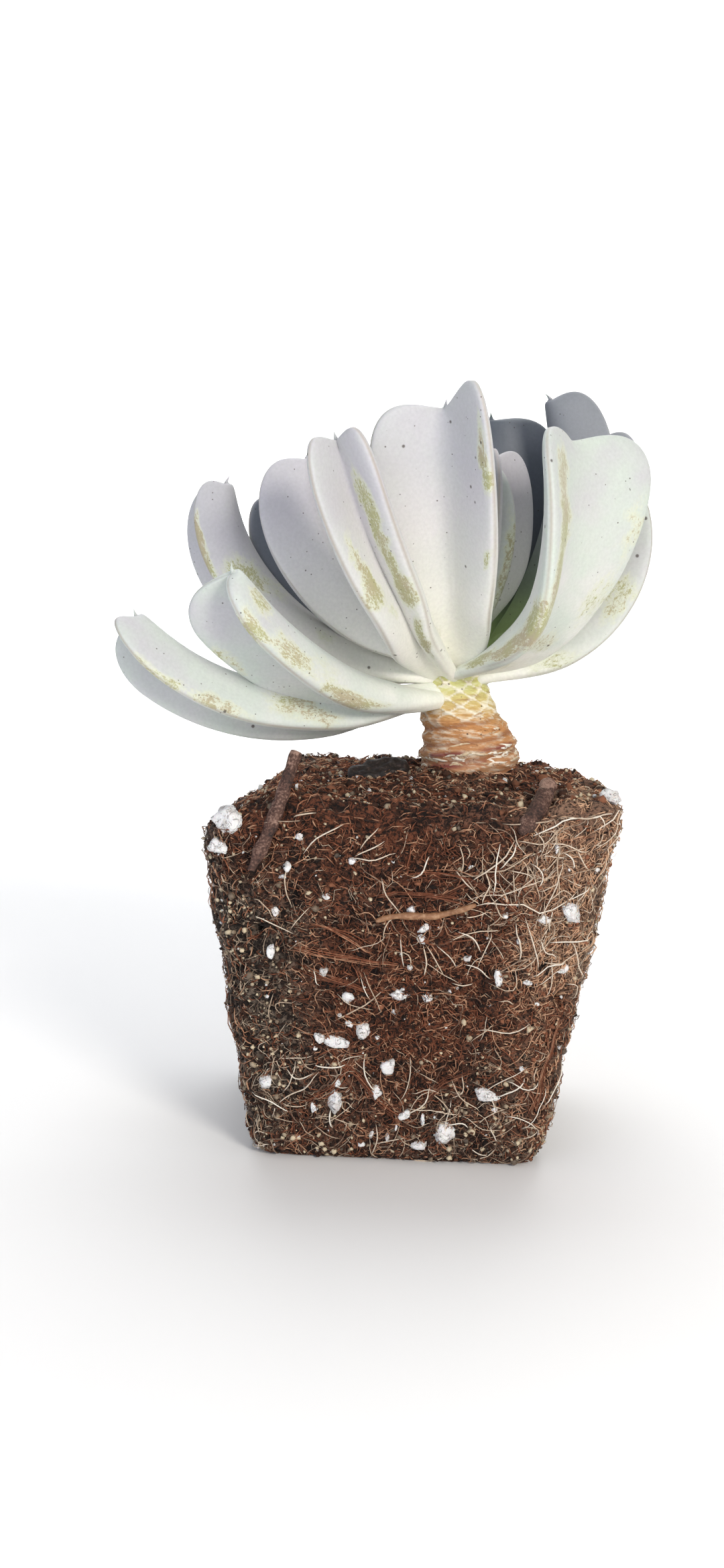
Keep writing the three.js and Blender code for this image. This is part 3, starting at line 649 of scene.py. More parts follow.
def rubbed_patches(tree, coat, cloud, colours):
    """Lays rubbed wax over the coat: a pale wash with bare flecks, in strokes. Also gives the flecks."""
    lie = add_node(tree, "Attribute", {}, attribute_name="lie", out="Vector")
    rub = add_node(tree, "Attribute", {}, attribute_name="rub", out="Fac")
    strokes = add_node(
        tree, "TexNoise", {"Vector": lie, "Scale": per_metre(1.5), "Detail": 7, "Roughness": 0.8}
    )
    strokes = add_node(tree, "Math", {0: strokes, 1: 0.5}, operation="SUBTRACT")
    worn = add_node(tree, "Math", {0: strokes, 1: 2.8, 2: rub}, operation="MULTIPLY_ADD")
    worn = add_node(tree, "Math", {0: worn, 1: rub}, operation="MULTIPLY")
    wash = add_node(tree, "MapRange", {"Value": worn, "From Min": 0.14, "From Max": 0.5, "To Max": 0.88})
    grain = add_node(
        tree, "TexNoise", {"Vector": lie, "Scale": per_metre(0.45), "Detail": 3, "Roughness": 0.8}
    )
    bare = add_node(tree, "Math", {0: worn, 1: 0.3, 2: grain}, operation="MULTIPLY_ADD")
    bare = add_node(tree, "Math", {0: bare, 1: wash}, operation="MULTIPLY")
    bare = add_node(tree, "MapRange", {"Value": bare, "From Min": 0.55, "From Max": 0.66, "To Max": 0.8})
    hue = add_node(tree, "MapRange", {"Value": cloud, "From Min": 0.42, "From Max": 0.58})
    fleck = add_node(tree, "Mix", {0: hue, 6: colours.fleck, 7: colours.fleck_tan}, data_type="RGBA", out=2)
    return layered(tree, coat, ((wash, colours.rubbed), (bare, fleck))), bare


def waxy_leaf_skin(colours):
    """Echeveria leaf, grown with a coat of powdery wax: pale and matt, greener where the wax is thin, with
    painted shade in slate on the shaded leaves.
    """
    material, tree, place = new_material(
        "leaf_skin_powdery_wax", Roughness=0.62, IOR=1.45, Subsurface_Weight=0.12, Subsurface_Scale=0.004,
        Subsurface_Radius=(0.6, 1.0, 0.4), Sheen_Weight=0.12, Sheen_Roughness=0.5,
    )
    along, rim, inner, mint, slate = (
        add_node(tree, "Attribute", {}, attribute_name=name, out="Fac")
        for name in ("along", "rim", "inner", "mint", "slate")
    )
    cloud = add_node(tree, "TexNoise", {"Vector": place, "Scale": per_metre(14), "Detail": 3})
    coat = add_node(
        tree, "ValToRGB", {"Fac": along}, stops=[(0.1, colours.bloom_foot), (0.85, colours.bloom)]
    )
    deep = add_node(
        tree, "ValToRGB", {"Fac": along}, stops=[(0.3, colours.inner_foot), (0.62, colours.inner)]
    )
    thin = add_node(
        tree, "MapRange", {"Value": cloud, "From Min": 0.35, "From Max": 0.6, "To Min": 0.25, "To Max": 1}
    )
    thin = add_node(tree, "Math", {0: thin, 1: mint}, operation="MULTIPLY")
    # The slate layer is painted shade.
    coat = layered(tree, coat, ((thin, colours.shade), (inner, deep), (slate, colours.slate)))
    coat, bare = rubbed_patches(tree, coat, cloud, colours)
    layers = [(rim, colours.margin)]
    for size, share, width in ((5.2, 0.7, 0.055), (2.4, 0.8, 0.055), (1.2, 0.9, 0.09)):
        layers.append((specks(tree, place, size, share, width, width * 1.8), colours.speck))
    coat = layered(tree, coat, layers)
    # Real wax powder is far finer. Half a millimetre and more is what still shows.
    powder = add_node(tree, "TexNoise", {"Vector": place, "Scale": per_metre(0.7), "Detail": 4})
    light = add_node(
        tree, "MapRange", {"Value": powder, "From Min": 0.3, "From Max": 0.7, "To Min": 0.95, "To Max": 1.04}
    )
    coat = add_node(tree, "HueSaturation", {"Color": coat, "Value": light})
    height = add_node(tree, "Math", {0: bare, 1: -0.6, 2: powder}, operation="MULTIPLY_ADD")
    return finish_material(material, coat, height, 0.18, 0.15)


def scarred_stem_skin(colours):
    """Succulent stem, weathered: corky tan skin in rings, yellow-green scars in a cream net at the neck, with
    painted shade in the grooves.
    """
    material, tree, place = new_material(
        "stem_skin_corky", Roughness=0.7, IOR=1.45, Subsurface_Weight=0.05, Subsurface_Scale=0.003
    )
    height, net, groove, streak = (
        add_node(tree, "Attribute", {}, attribute_name=name, out="Fac")
        for name in ("height", "net", "groove", "streak")
    )
    skin = add_node(
        tree, "ValToRGB", {"Fac": height},
        stops=[(0.0, colours.low), (0.4, colours.middle), (0.62, colours.high)],
    )
    stretched = add_node(
        tree, "Mapping", {"Vector": place, "Rotation": (0, math.radians(-10), 0), "Scale": (1, 1, 5)}
    )
    lines = add_node(
        tree, "TexNoise", {"Vector": stretched, "Scale": per_metre(5), "Detail": 6, "Roughness": 0.65}
    )
    pale = add_node(tree, "MapRange", {"Value": lines, "From Min": 0.5, "From Max": 0.66, "To Max": 0.75})
    # Painted shade where the relief is low and in the grooves between the rings.
    shaded = add_node(tree, "MapRange", {"Value": lines, "From Min": 0.48, "From Max": 0.3, "To Max": 0.6})
    shaded = add_node(tree, "Math", {0: shaded, 1: groove}, operation="MAXIMUM")
    folds = add_node(
        tree, "TexNoise", {"Vector": stretched, "Scale": per_metre(4), "Detail": 4, "Distortion": 0.6}
    )
    seam = thin_lines(tree, folds, 0.48, 0.014, strength=0.7)
    old = add_node(tree, "MapRange", {"Value": height, "From Min": 0.5, "From Max": 0.38})
    seam = add_node(tree, "Math", {0: seam, 1: old}, operation="MULTIPLY")
    dot = specks(tree, place, 1.6, 0.78, 0.1, 0.2)
    layers = (
        (pale, colours.net), (net, colours.net), (shaded, colours.hollow), (seam, colours.seam),
        (streak, colours.streak), (dot, colours.speck),
    )
    return finish_material(material, layered(tree, skin, layers), lines, 0.6, 0.5)


def crumb_tone(tree, place, bent):
    """One tone for each crumb of the mix, and drifts of tone over larger patches."""
    crumb = add_node(
        tree, "TexVoronoi", {"Vector": bent, "Scale": per_metre(0.8), "Randomness": 1}, out="Color"
    )
    tone = add_node(tree, "SeparateColor", {0: crumb})
    patch = add_node(tree, "TexNoise", {"Vector": place, "Scale": per_metre(8), "Detail": 4})
    tone = add_node(tree, "Math", {0: patch, 1: 1.6, 2: tone}, operation="MULTIPLY_ADD")
    return add_node(tree, "Math", {0: tone, 1: 0.55}, operation="SUBTRACT")


def peat_and_coir(colours):
    """Potting mix, pressed: crumbs of peat and coir dust in many browns, with painted shade, nearly black, in
    the gaps between them and in the hollows of its relief.
    """
    material, tree, place = new_material("potting_mix_peat_and_coir", Roughness=0.95, IOR=1.4)
    cavity, gritty, matted = (
        add_node(tree, "Attribute", {}, attribute_name=name, out="Fac")
        for name in ("cavity", "gritty", "matted")
    )
    swirl = add_node(tree, "TexNoise", {"Vector": place, "Scale": per_metre(2.2), "Detail": 3}, out="Color")
    swirl = add_node(tree, "VectorMath", {0: swirl, 1: (0.5, 0.5, 0.5)}, operation="SUBTRACT")
    swirl = add_node(tree, "VectorMath", {0: swirl, "Scale": 2.4 * MM}, operation="SCALE")
    bent = add_node(tree, "VectorMath", {0: place, 1: swirl}, operation="ADD")
    tone = crumb_tone(tree, place, bent)
    mix = add_node(
        tree, "ValToRGB", {"Fac": tone},
        stops=[(0.1, colours.dark), (0.5, colours.brown), (0.95, colours.red)],
    )
    grit = add_node(
        tree, "ValToRGB", {"Fac": tone},
        stops=[(0.2, colours.dark), (0.6, colours.grit), (1.0, colours.grit_pale)],
    )
    tangle = add_node(
        tree, "TexNoise", {"Vector": bent, "Scale": per_metre(1.3), "Detail": 1.5, "Distortion": 1.2}
    )
    threads = thin_lines(tree, tangle, 0.5, 0.035, strength=0.75)
    fibre = add_node(
        tree, "Mix", {0: gritty, 6: colours.coir, 7: colours.grit_pale}, data_type="RGBA", out=2
    )
    fine = add_node(
        tree, "TexNoise", {"Vector": place, "Scale": per_metre(0.9), "Detail": 6, "Roughness": 0.75}
    )
    # Painted shade where the bump is low and in the hollows of the crumb relief.
    gap_shade = add_node(tree, "MapRange", {"Value": fine, "From Min": 0.53, "From Max": 0.42})
    gap_shade = add_node(tree, "Math", {0: gap_shade, 1: cavity}, operation="MAXIMUM")
    layers = ((gritty, grit), (threads, fibre), (matted, colours.tan), (gap_shade, colours.dark))
    return finish_material(material, layered(tree, mix, layers), fine, 1.0, 1.0)


def toned(name, low, middle, high, mottle=0.35, size=0.9, **sockets):
    """A matt natural skin in three tones, one tone for each strand or grain, and mottled."""
    material, tree, place = new_material(name, **sockets)
    tone = add_node(tree, "Attribute", {}, attribute_name="tone", out="Fac")
    noise = add_node(tree, "TexNoise", {"Vector": place, "Scale": per_metre(size), "Detail": 3})
    noise = add_node(tree, "Math", {0: noise, 1: 0.5}, operation="SUBTRACT")
    tone = add_node(tree, "Math", {0: noise, 1: mottle * 2, 2: tone}, operation="MULTIPLY_ADD")
    colour = add_node(tree, "ValToRGB", {"Fac": tone}, stops=[(0.05, low), (0.5, middle), (0.95, high)])
    return finish_material(material, colour, noise, 0.5, 0.2)


def puffed_perlite(colours):
    """Perlite, a volcanic glass puffed by heat: chalk white, with pores and soil in its cracks."""
    material, tree, place = new_material(
        "perlite_puffed", Roughness=0.85, IOR=1.5, Subsurface_Weight=0.1, Subsurface_Scale=0.001
    )
    stain = add_node(
        tree, "TexNoise", {"Vector": place, "Scale": per_metre(2.4), "Detail": 5, "Roughness": 0.6}
    )
    stain = add_node(tree, "MapRange", {"Value": stain, "From Min": 0.5, "From Max": 0.7})
    crazing = add_node(
        tree, "TexNoise", {"Vector": place, "Scale": per_metre(1.7), "Detail": 4, "Distortion": 0.8}
    )
    crack = thin_lines(tree, crazing, 0.46, 0.016, core=0.004, strength=0.7)
    pores = add_node(tree, "TexNoise", {"Vector": place, "Scale": per_metre(0.45), "Detail": 2})
    hole = add_node(tree, "MapRange", {"Value": pores, "From Min": 0.33, "From Max": 0.24, "To Max": 0.8})
    layers = ((stain, colours.perlite_dull), (crack, colours.perlite_crack), (hole, colours.perlite_pore))
    white = layered(tree, colours.perlite, layers)
    height = add_node(tree, "Math", {0: crack, 1: -1.0, 2: pores}, operation="MULTIPLY_ADD")
    return finish_material(material, white, height, 0.9, 0.3)


def floor_paint(colours):
    """Paint on a studio floor, new and matt, hardly mottled."""
    material, tree, place = new_material("floor_paint_matt", Roughness=0.9)
    noise = add_node(tree, "TexNoise", {"Vector": place, "Scale": 3.0, "Detail": 2})
    tint = add_node(tree, "MapRange", {"Value": noise, "To Min": 0.985, "To Max": 1.0})
    colour = add_node(tree, "HueSaturation", {"Color": colours.floor, "Value": tint})
    return finish_material(material, colour)


def dry_coir(colours):
    """Coconut coir fibre, dry: red brown to tan."""
    return toned(
        "coir_fibre_dry", colours.coir_dark, colours.coir, colours.coir_pale, Roughness=0.85, IOR=1.45
    )


def dry_roots(colours):
    """Fine plant roots, dry: tan to cream."""
    return toned(
        "root_thread_dry", colours.root_dull, colours.root, colours.root_pale, Roughness=0.7, IOR=1.45
    )


def washed_grit():
    """Quartz grit, washed: hard grains from brown to cream."""
    return toned("grit_washed", *map(srgb, TONES["grit"]), Roughness=0.6, IOR=1.5)


def crumbled_peat():
    """Peat, crumbled: matt dark brown."""
    return toned("peat_crumb", *map(srgb, TONES["peat_crumb"]), Roughness=0.95, IOR=1.4)


def weathered_bark():
    """Bark of a thin twig, weathered: grey brown."""
    return toned("twig_bark_weathered", *map(srgb, TONES["twig"]), 0.8, 0.5, Roughness=0.8)


def wet_bark():
    """Bark chip, wet: nearly black."""
    return toned("bark_chip_wet", *map(srgb, TONES["chip"]), 0.8, 0.5, Roughness=0.6)


def thick_root_skin():
    """Skin of a thick root, dry: tan."""
    return toned("thick_root_skin", *map(srgb, TONES["thick_root"]), 0.5, 0.9, Roughness=0.6)


def flake_paper():
    """Old skin of a succulent stem, dried to paper: cream with tan edges."""
    return toned("stem_flake_paper", *map(srgb, TONES["flake"]), 0.5, 0.8, Roughness=0.55)


# Root ball


def ball_half(z):
    """Half the width of the ball at a height."""
    return BALL_HALF_BASE + (BALL_HALF_TOP - BALL_HALF_BASE) * z / BALL_HEIGHT


def soil_height(x, y):
    """Mounded round the stem, higher at the right rim, worn away at the left and far corner."""
    mound = MOUND["height"] * np.exp(-((x - LEAN["x"]) ** 2 + y**2) / MOUND["reach"] ** 2)
    front = smooth((10 - y) / BALL_HALF_TOP)
    right = HIGH_RIGHT["height"] * smooth((x - HIGH_RIGHT["start"]) / HIGH_RIGHT["over"]) * front
    wear = WORN_LEFT["depth"] + WORN_LEFT["slope"] * y / BALL_HALF_TOP
    worn = wear * smooth((WORN_LEFT["start"] - x) / WORN_LEFT["over"])
    return BALL_HEIGHT + mound + right - worn + lumps(x, y, 0, 7) + 0.7 * lumps(x, y, 20, 4)


def crumbs(x, y, z):
    """Relief of the crumbs of the mix."""
    return sum(height * lumps(x + 90, y, z, size) for size, height in CRUMB_RELIEF)


def ball_surface(a, b, c, lift=0.0):
    """Bends the surface of a cube, with a, b and c from -1 to 1, to the ball. lift stands points off it."""
    reach = np.maximum(np.maximum(np.abs(a), np.abs(b)), 1e-6)
    sides = np.abs(a / reach) ** BALL_SQUARENESS + np.abs(b / reach) ** BALL_SQUARENESS
    corner = np.maximum(sides, 1) ** (1 / BALL_SQUARENESS)
    row = (c + 1) / 2
    curve = np.pi / 2 * np.clip(row / ROUNDED_SHARE, 0, 1)
    share = np.clip((row - ROUNDED_SHARE) / (1 - ROUNDED_SHARE), 0, 1)
    level = BASE_ROUNDING * (1 - np.cos(curve)) + share * (BALL_HEIGHT - BASE_ROUNDING)
    half = ball_half(level) - BASE_ROUNDING * (1 - np.sin(curve))
    x, y = a / corner * half, b / corner * half
    rim = RIM_ROUNDING * smooth((reach - RIM_SHARE) / (1 - RIM_SHARE))
    z = level + share * (soil_height(x, y) - rim - BALL_HEIGHT)
    side = reach > 0.9999
    coarse = (0.8 * lumps(x, y, z, 8) + 0.6 * lumps(x, y + 50, z, 4.5)) * smooth(z / 8)
    fine = crumbs(x, y, z)
    for pit_x, pit_z, radius, depth in PITS:
        fine = fine - depth * np.exp(-((x - pit_x) ** 2 + (z - pit_z) ** 2) / radius**2) * (y < 0)
    out = np.where(side, coarse + fine * smooth(z / 3) + lift, 0)
    swell = 1 + out / BALL_HALF_TOP
    top = (c > 0.9999) & ~side
    z = np.where(top, z + fine + lift, z)
    z = np.where((c < -0.9999) & ~side, np.maximum(lift, 0), z)
    return np.stack([x * swell, y * swell, np.maximum(z, 0)], -1)


def side_point(around, z, lift):
    """A point on the sides: around counts sides from the middle of the front, z is the height."""
    number = np.floor(around + 0.5)
    along = (around - number) * 2
    turn = number * np.pi / 2
    a = along * np.cos(turn) + np.sin(turn)
    b = along * np.sin(turn) - np.cos(turn)
    grow = np.maximum(np.abs(a), np.abs(b))
    z = np.clip(z, 0.2, BALL_HEIGHT)
    curve = np.arccos(np.clip(1 - z / BASE_ROUNDING, 0, 1)) / (np.pi / 2)
    share = np.clip((z - BASE_ROUNDING) / (BALL_HEIGHT - BASE_ROUNDING), 0, 1)
    row = ROUNDED_SHARE * curve + (1 - ROUNDED_SHARE) * share
    return ball_surface(a / grow, b / grow, row * 2 - 1, lift)


def top_point(x, y, lift):
    """A point on the top from its x and y."""
    a = np.clip(x / BALL_HALF_TOP, -0.985, 0.985)
    b = np.clip(y / BALL_HALF_TOP, -0.985, 0.985)
    return ball_surface(a, b, np.ones_like(a), lift)


def front_place(x, z, lift):
    """A point on the front face from its x and z."""
    x, z = np.asarray(x, float), np.asarray(z, float)
    return side_point(np.clip(x / (2 * ball_half(np.clip(z, 0, BALL_HEIGHT))), -0.499, 0.499), z, lift)


def grit_share(x, y, z):
    """How gritty the mix is: 0 is red coir, 1 is grey grit with fine roots."""
    drift = lumps(x, y + 200, z, 22) * 0.35 + lumps(x, y, z + 70, 9) * 0.2
    border = 74 + 9 * lumps(x, y, z + 30, 14)
    left = smooth((-x - 14) / 16) * smooth((border - z) / 18)
    low = smooth((30 - z) / 26) * 0.6
    edge = smooth((np.abs(x) / ball_half(z) - 0.86) / 0.12) * 0.7
    behind = smooth(y / 30) * smooth(lumps(x, y, z, 30) * 1.5)
    return np.clip(np.maximum.reduce([left, low, edge, behind]) + drift, 0, 1)


def tan_share(x, y, z):
    """Fine tan roots cover the right edge of the front, and drifts on the other sides."""
    drift = lumps(x, y + 90, z, 13) * 0.7 + lumps(x, y, z + 40, 5) * 0.5
    front = smooth((x - 17) / 17) * (0.35 + 0.65 * smooth((z - 34) / 22)) * (1 + 0.5 * drift)
    return np.clip(np.where(y < -28, front, 0.4 * smooth(drift * 1.8 - 0.2)), 0, 1)


def scattered(rng, spec, where):
    """Paths of strands that wander over the sides, the front, the top or the underside of the ball."""
    count = spec["count"]
    steps = spec.get("steps", FIBRE_STEPS)
    length = rng.uniform(*spec["length"], count)
    heading = rng.uniform(0, 2 * np.pi, count)
    bend = rng.normal(0, spec["curl"], count)
    wave = rng.normal(0, spec["curl"] * 0.5, count)
    t = np.linspace(0, 1, steps)[None, :]
    angle = heading[:, None] + bend[:, None] * (t - 0.5) + wave[:, None] * np.sin(2 * np.pi * t)
    step = length[:, None] / (steps - 1)
    across = np.cumsum(np.cos(angle), 1) * step
    along = np.cumsum(np.sin(angle), 1) * step
    arch = rng.uniform(*spec["lift"], count)[:, None]
    lift = arch * (0.25 + 0.75 * np.sin(np.pi * t) ** 0.6)
    if where in AROUND:
        z = rng.uniform(0.5, BALL_HEIGHT - 1, count)[:, None] + along
        share = across / (2 * ball_half(np.clip(z, 0, BALL_HEIGHT)))
        return side_point(rng.uniform(*AROUND[where], count)[:, None] + share, z, lift)
    if where == "top":
        x = rng.uniform(-BALL_HALF_TOP, BALL_HALF_TOP, count)[:, None] + across
        y = rng.uniform(-BALL_HALF_TOP, BALL_HALF_TOP, count)[:, None] + along
        return top_point(x, y, lift)
    flat = BALL_HALF_BASE - BASE_ROUNDING
    x = np.clip(rng.uniform(-flat, flat, count)[:, None] + across, -flat, flat)
    y = np.clip(rng.uniform(-flat, flat, count)[:, None] + along, -flat, flat)
    return np.stack([x, y, np.maximum(0.12, 0.25 * lift)], -1)


def ball_normal(points):
    """The way out of the ball at each point, near enough for strands and grains."""
    half = ball_half(points[..., 2])
    a, b = points[..., 0] / half, points[..., 1] / half
    side = np.maximum(np.abs(a), np.abs(b))
    over = points[..., 2] - (soil_height(points[..., 0], points[..., 1]) - 3)
    up = smooth(over / 2) * smooth((0.99 - side) / 0.06)
    down = smooth((0.5 - points[..., 2]) / 0.5) * smooth((0.95 - side) / 0.05)
    out = np.stack([signed_power(a, 11), signed_power(b, 11), np.full_like(a, -0.1)], -1)
    flat = np.stack([np.zeros_like(a), np.zeros_like(a), up - down], -1)
    return unit(unit(out) * (1 - up - down)[..., None] + flat)


def strands(name, groups, material, sides=3):
    """One piece that holds rods along all the paths. A group is paths, radii and tones."""
    pieces = []
    tones = []
    steps = groups[0][0].shape[1]
    template = rod_template(sides, steps)
    taper = 1 - 0.75 * np.abs(np.linspace(-1, 1, steps)) ** 4
    for paths, radii, tone in groups:
        thick = radii[:, None] * taper[None, :]
        pieces.append(lay_along(template, paths, thick, thick, ball_normal(paths)))
        tones.append(tone)
    points = np.concatenate(pieces)
    points[..., 2] = np.maximum(points[..., 2], 0.02)
    piece = copies(template, name, points)
    mark(piece, "tone", np.repeat(np.concatenate(tones), points.shape[1]))
    return finish_piece(piece, name, material)


def keep(rng, paths, chance):
    """Keeps each path with the chance at its middle."""
    middle = paths[:, paths.shape[1] // 2]
    return paths[rng.random(len(paths)) < chance(middle[:, 0], middle[:, 1], middle[:, 2])]


def red_share(x, y, z):
    """How much red coir shows, which is less where the mix is gritty."""
    return 1 - 0.7 * grit_share(x, y, z)


def grey_share(x, y, z):
    """How much grit shows."""
    return 0.12 + 0.88 * grit_share(x, y, z)


def matted_share(x, y, z):
    """Pale roots are matted at the upper right of the front."""
    upper = smooth((x - 2) / 24) * smooth((z - 38) / 26)
    low = 0.2 * smooth((30 - z) / 14)
    return 0.05 + 0.9 * upper + low


def group(rng, spec, paths, tone=(0, 1)):
    """Paths with a radius and a tone for each."""
    radii = rng.uniform(*spec["radius"], len(paths))
    return paths, radii, rng.uniform(*tone, len(paths))


def coir_group(rng, spec, where, tone=(0, 1), chance=red_share):
    """Coir fibres, paler where the mix is tan. Unless told otherwise they are fewer where it is gritty."""
    paths, radii, tones = group(rng, spec, keep(rng, scattered(rng, spec, where), chance), tone)
    return paths, radii, 0.85 * tones + 0.7 * tan_share(*paths[:, paths.shape[1] // 2].T)


def routed(rng, route, strand_count, spread, lift, steps):
    """Strands that follow a route on the front face together, each a little to one side."""
    line = through(route, steps)
    t = np.linspace(0, 1, steps)[None, :, None]
    shift = rng.normal(0, spread, (strand_count, 1, 2))
    fray = rng.normal(0, spread * 0.7, (strand_count, 1, 2)) * (2 * t - 1)
    wave = np.sin(5 * t + rng.uniform(0, 6, (strand_count, 1, 2))) * spread * 0.5
    flat = line[None] + shift + fray + wave
    lifts = rng.uniform(*lift, (strand_count, 1)) * (0.35 + 0.65 * np.sin(np.pi * t[..., 0]))
    return front_place(flat[..., 0], flat[..., 1], lifts)


def broken(rng, count, shape):
    """How far each point of a sphere is cut back by flat breaks, for a number of lumps."""
    way = unit(shape)
    face = unit(rng.normal(size=(count, ROCK_CUTS, 3)))
    depth = rng.uniform(0.55, 1.0, (count, ROCK_CUTS, 1))
    toward = np.einsum("nkc,pc->nkp", face, way)
    cut = np.where(toward > 0.05, depth / np.maximum(toward, 0.05), 9)
    return np.minimum(cut.min(axis=1), 1.15)[..., None]


def grains(rng, name, detail, centres, sizes, tones, material, unevenness=0.2):
    """One piece that holds a small uneven lump at each centre."""
    template = grain_template(detail)
    shape = points_of(template)
    count = len(centres)
    axes = unit(rng.normal(size=(count, 3)))
    other = unit(np.cross(axes, unit(rng.normal(size=(count, 3)))))
    turn = np.stack([axes, other, np.cross(axes, other)], 1)
    stretch = rng.uniform(0.75, 1.25, (count, 1, 3))
    uneven = broken(rng, count, shape) * (1 + rng.uniform(-unevenness, unevenness, (count, len(shape), 1)))
    lump = np.einsum("tk,nkj->ntj", shape, turn * stretch.transpose(0, 2, 1)) * uneven
    points = centres[:, None] + lump * sizes[:, None]
    points[..., 2] = np.maximum(points[..., 2], 0.02)
    piece = copies(template, name, points)
    mark(piece, "tone", np.repeat(tones, len(shape)))
    return finish_piece(piece, name, material)


class ECHEVERIA_OT_root_ball(bpy.types.Operator):
    """The pressed mix of the root ball, a cube bent to the form of a square pot"""

    bl_idname = "echeveria.root_ball"
    bl_label = "Root ball"

    def execute(self, context):
        ball = primitive(bpy.ops.mesh.primitive_cube_add, size=2)
        subdivide(ball, [9, 9])
        a, b, c = points_of(ball).T
        points = ball_surface(a, b, c)
        put_points(ball, points)
        x, y, z = points.T
        # Painted shade in the hollows of the crumb relief.
        mark(ball, "cavity", smooth(-crumbs(x, y, z) / 0.5 - 0.1))
        mark(ball, "gritty", grit_share(x, y, z))
        mark(ball, "matted", 0.75 * tan_share(x, y, z))
        mix = peat_and_coir(context.scene.echeveria_ball)
        finish_piece(ball, "potting_mix", mix, ["root_ball"])
        return {"FINISHED"}


def short_coir(rng, coir):
    """Short coir fibres on every side, in two pieces, with paler ones where the front is tan."""
    for part in (1, 2):
        groups = []
        for where, share in SHARES.items():
            groups.append(coir_group(rng, {**COIR, "count": int(COIR["count"] * share)}, where))
        groups.append(coir_group(rng, {**COIR, "count": FRONT_COIR}, "front", (0.4, 1), tan_share))
        strands(f"coir_short_{part}", groups, coir)


def long_coir(rng, coir):
    """Long coir fibres on the sides, and bundles of them on the front."""
    groups = [coir_group(rng, {**COIR_LONG, "steps": THREAD_STEPS}, "sides", (0.2, 1))]
    for route in BUNDLES:
        paths = routed(rng, route, BUNDLE_STRANDS, 0.5, (0.3, 1.3), THREAD_STEPS)
        groups.append(group(rng, COIR_LONG, paths, (0.2, 0.7)))
    strands("coir_long", groups, coir)


def root_hairs(rng, roots):
    """Hair-thin roots, most of them where the mix is gritty."""
    groups = []
    for where, share in SHARES.items():
        spec = {**HAIRS, "count": int(HAIRS["count"] * share)}
        groups.append(group(rng, spec, keep(rng, scattered(rng, spec, where), grey_share), (-0.2, 0.6)))
    strands("root_hairs", groups, roots)


def root_threads(rng, roots):
    """Dull roots on the sides, matted and white ones on the front, and the pale ones that stand out there."""
    dull = {**DULL_ROOTS, "steps": THREAD_STEPS}
    groups = [group(rng, dull, scattered(rng, dull, "sides"), (-0.3, 0.4))]
    for spec, tone in ((MATTED_ROOTS, (-0.1, 0.7)), (WHITE_ROOTS, (0.5, 1))):
        tried = scattered(rng, {**spec, "steps": THREAD_STEPS, "count": spec["count"] * TRIES}, "front")
        groups.append(group(rng, spec, keep(rng, tried, matted_share)[: spec["count"]], tone))
    for route in THREADS:
        paths = routed(rng, route, 1, 0.1, (0.9, 1.6), THREAD_STEPS)
        groups.append(group(rng, WHITE_ROOTS, paths, (0.4, 0.9)))
    strands("root_threads", groups, roots, sides=4)


class ECHEVERIA_OT_fibres(bpy.types.Operator):
    """Coir fibres and root threads on every side of the root ball"""

    bl_idname = "echeveria.fibres"
    bl_label = "Fibres and roots"

    def execute(self, context):
        colours = context.scene.echeveria_ball
        rng = np.random.default_rng(SEEDS["fibres"])
        coir = dry_coir(colours)
        roots = dry_roots(colours)
        short_coir(rng, coir)
        long_coir(rng, coir)
        root_hairs(rng, roots)
        root_threads(rng, roots)
        return {"FINISHED"}


def large_perlite(rng, white):
    """The eight large lumps, each a sphere with flat breaks and pits."""
    for number, (x, z, proud, wide, deep, high) in enumerate(PERLITE_NODES, 1):
        lump = grain_template(4)
        shape = points_of(lump)
        u, v, w = (shape * 2).T
        pits = 0.16 * lumps(u + number * 9, v, w, 0.5) + 0.1 * lumps(u, v + number, w, 0.24)
        bulge = broken(rng, 1, shape)[0] * (1.05 + pits[:, None])
        y = -(ball_half(z) + proud) if z <= BALL_HEIGHT else TOP_LUMP_Y
        put_points(lump, (x, y, z) + shape * (wide, deep, high) * bulge)
        finish_piece(lump, f"perlite_lump_{number}", white, [f"perlite_{number}"])


def small_perlite(rng, white):
    """The smaller lumps that can be told apart on the front."""
    x, z, wide, high = np.array(PERLITE_SMALL, float).T
    centres = front_place(x, z, np.full(len(x), 0.1))
    sizes = np.stack([wide, np.minimum(wide, high), high], -1) * 1.1
    grains(rng, "perlite_small", 3, centres, sizes, np.full(len(x), 0.5), white, 0.08)


def over_top(rng, count, reach, lift):
    """Places strewn over the top of the ball."""
    return top_point(*rng.uniform(-reach, reach, (2, count)), lift)


def grain_sizes(rng, spec, count):
    """Many small sizes and few large ones."""
    return rng.gamma(*spec["spread"], (count, 1)).clip(*spec["limits"])


def perlite_crumbs(rng, white):
    """Crumbs of perlite all over the ball, smaller on the front, where the large lumps stand."""
    count = PERLITE_DUST["count"]
    around = rng.uniform(*AROUND["sides"], count)
    z = rng.uniform(1.5, BALL_HEIGHT - 1, count)
    side = side_point(around, z, np.full(count, 0.2))
    centres = np.concatenate([side, over_top(rng, count // 5, TOP_REACH, 0.3)])
    size = grain_sizes(rng, PERLITE_DUST, len(centres))
    size[centres[:, 1] < -30] *= PERLITE_DUST["front_growth"]
    grains(rng, "perlite_crumbs", 1, centres, size, np.full(len(centres), 0.5), white, 0.12)


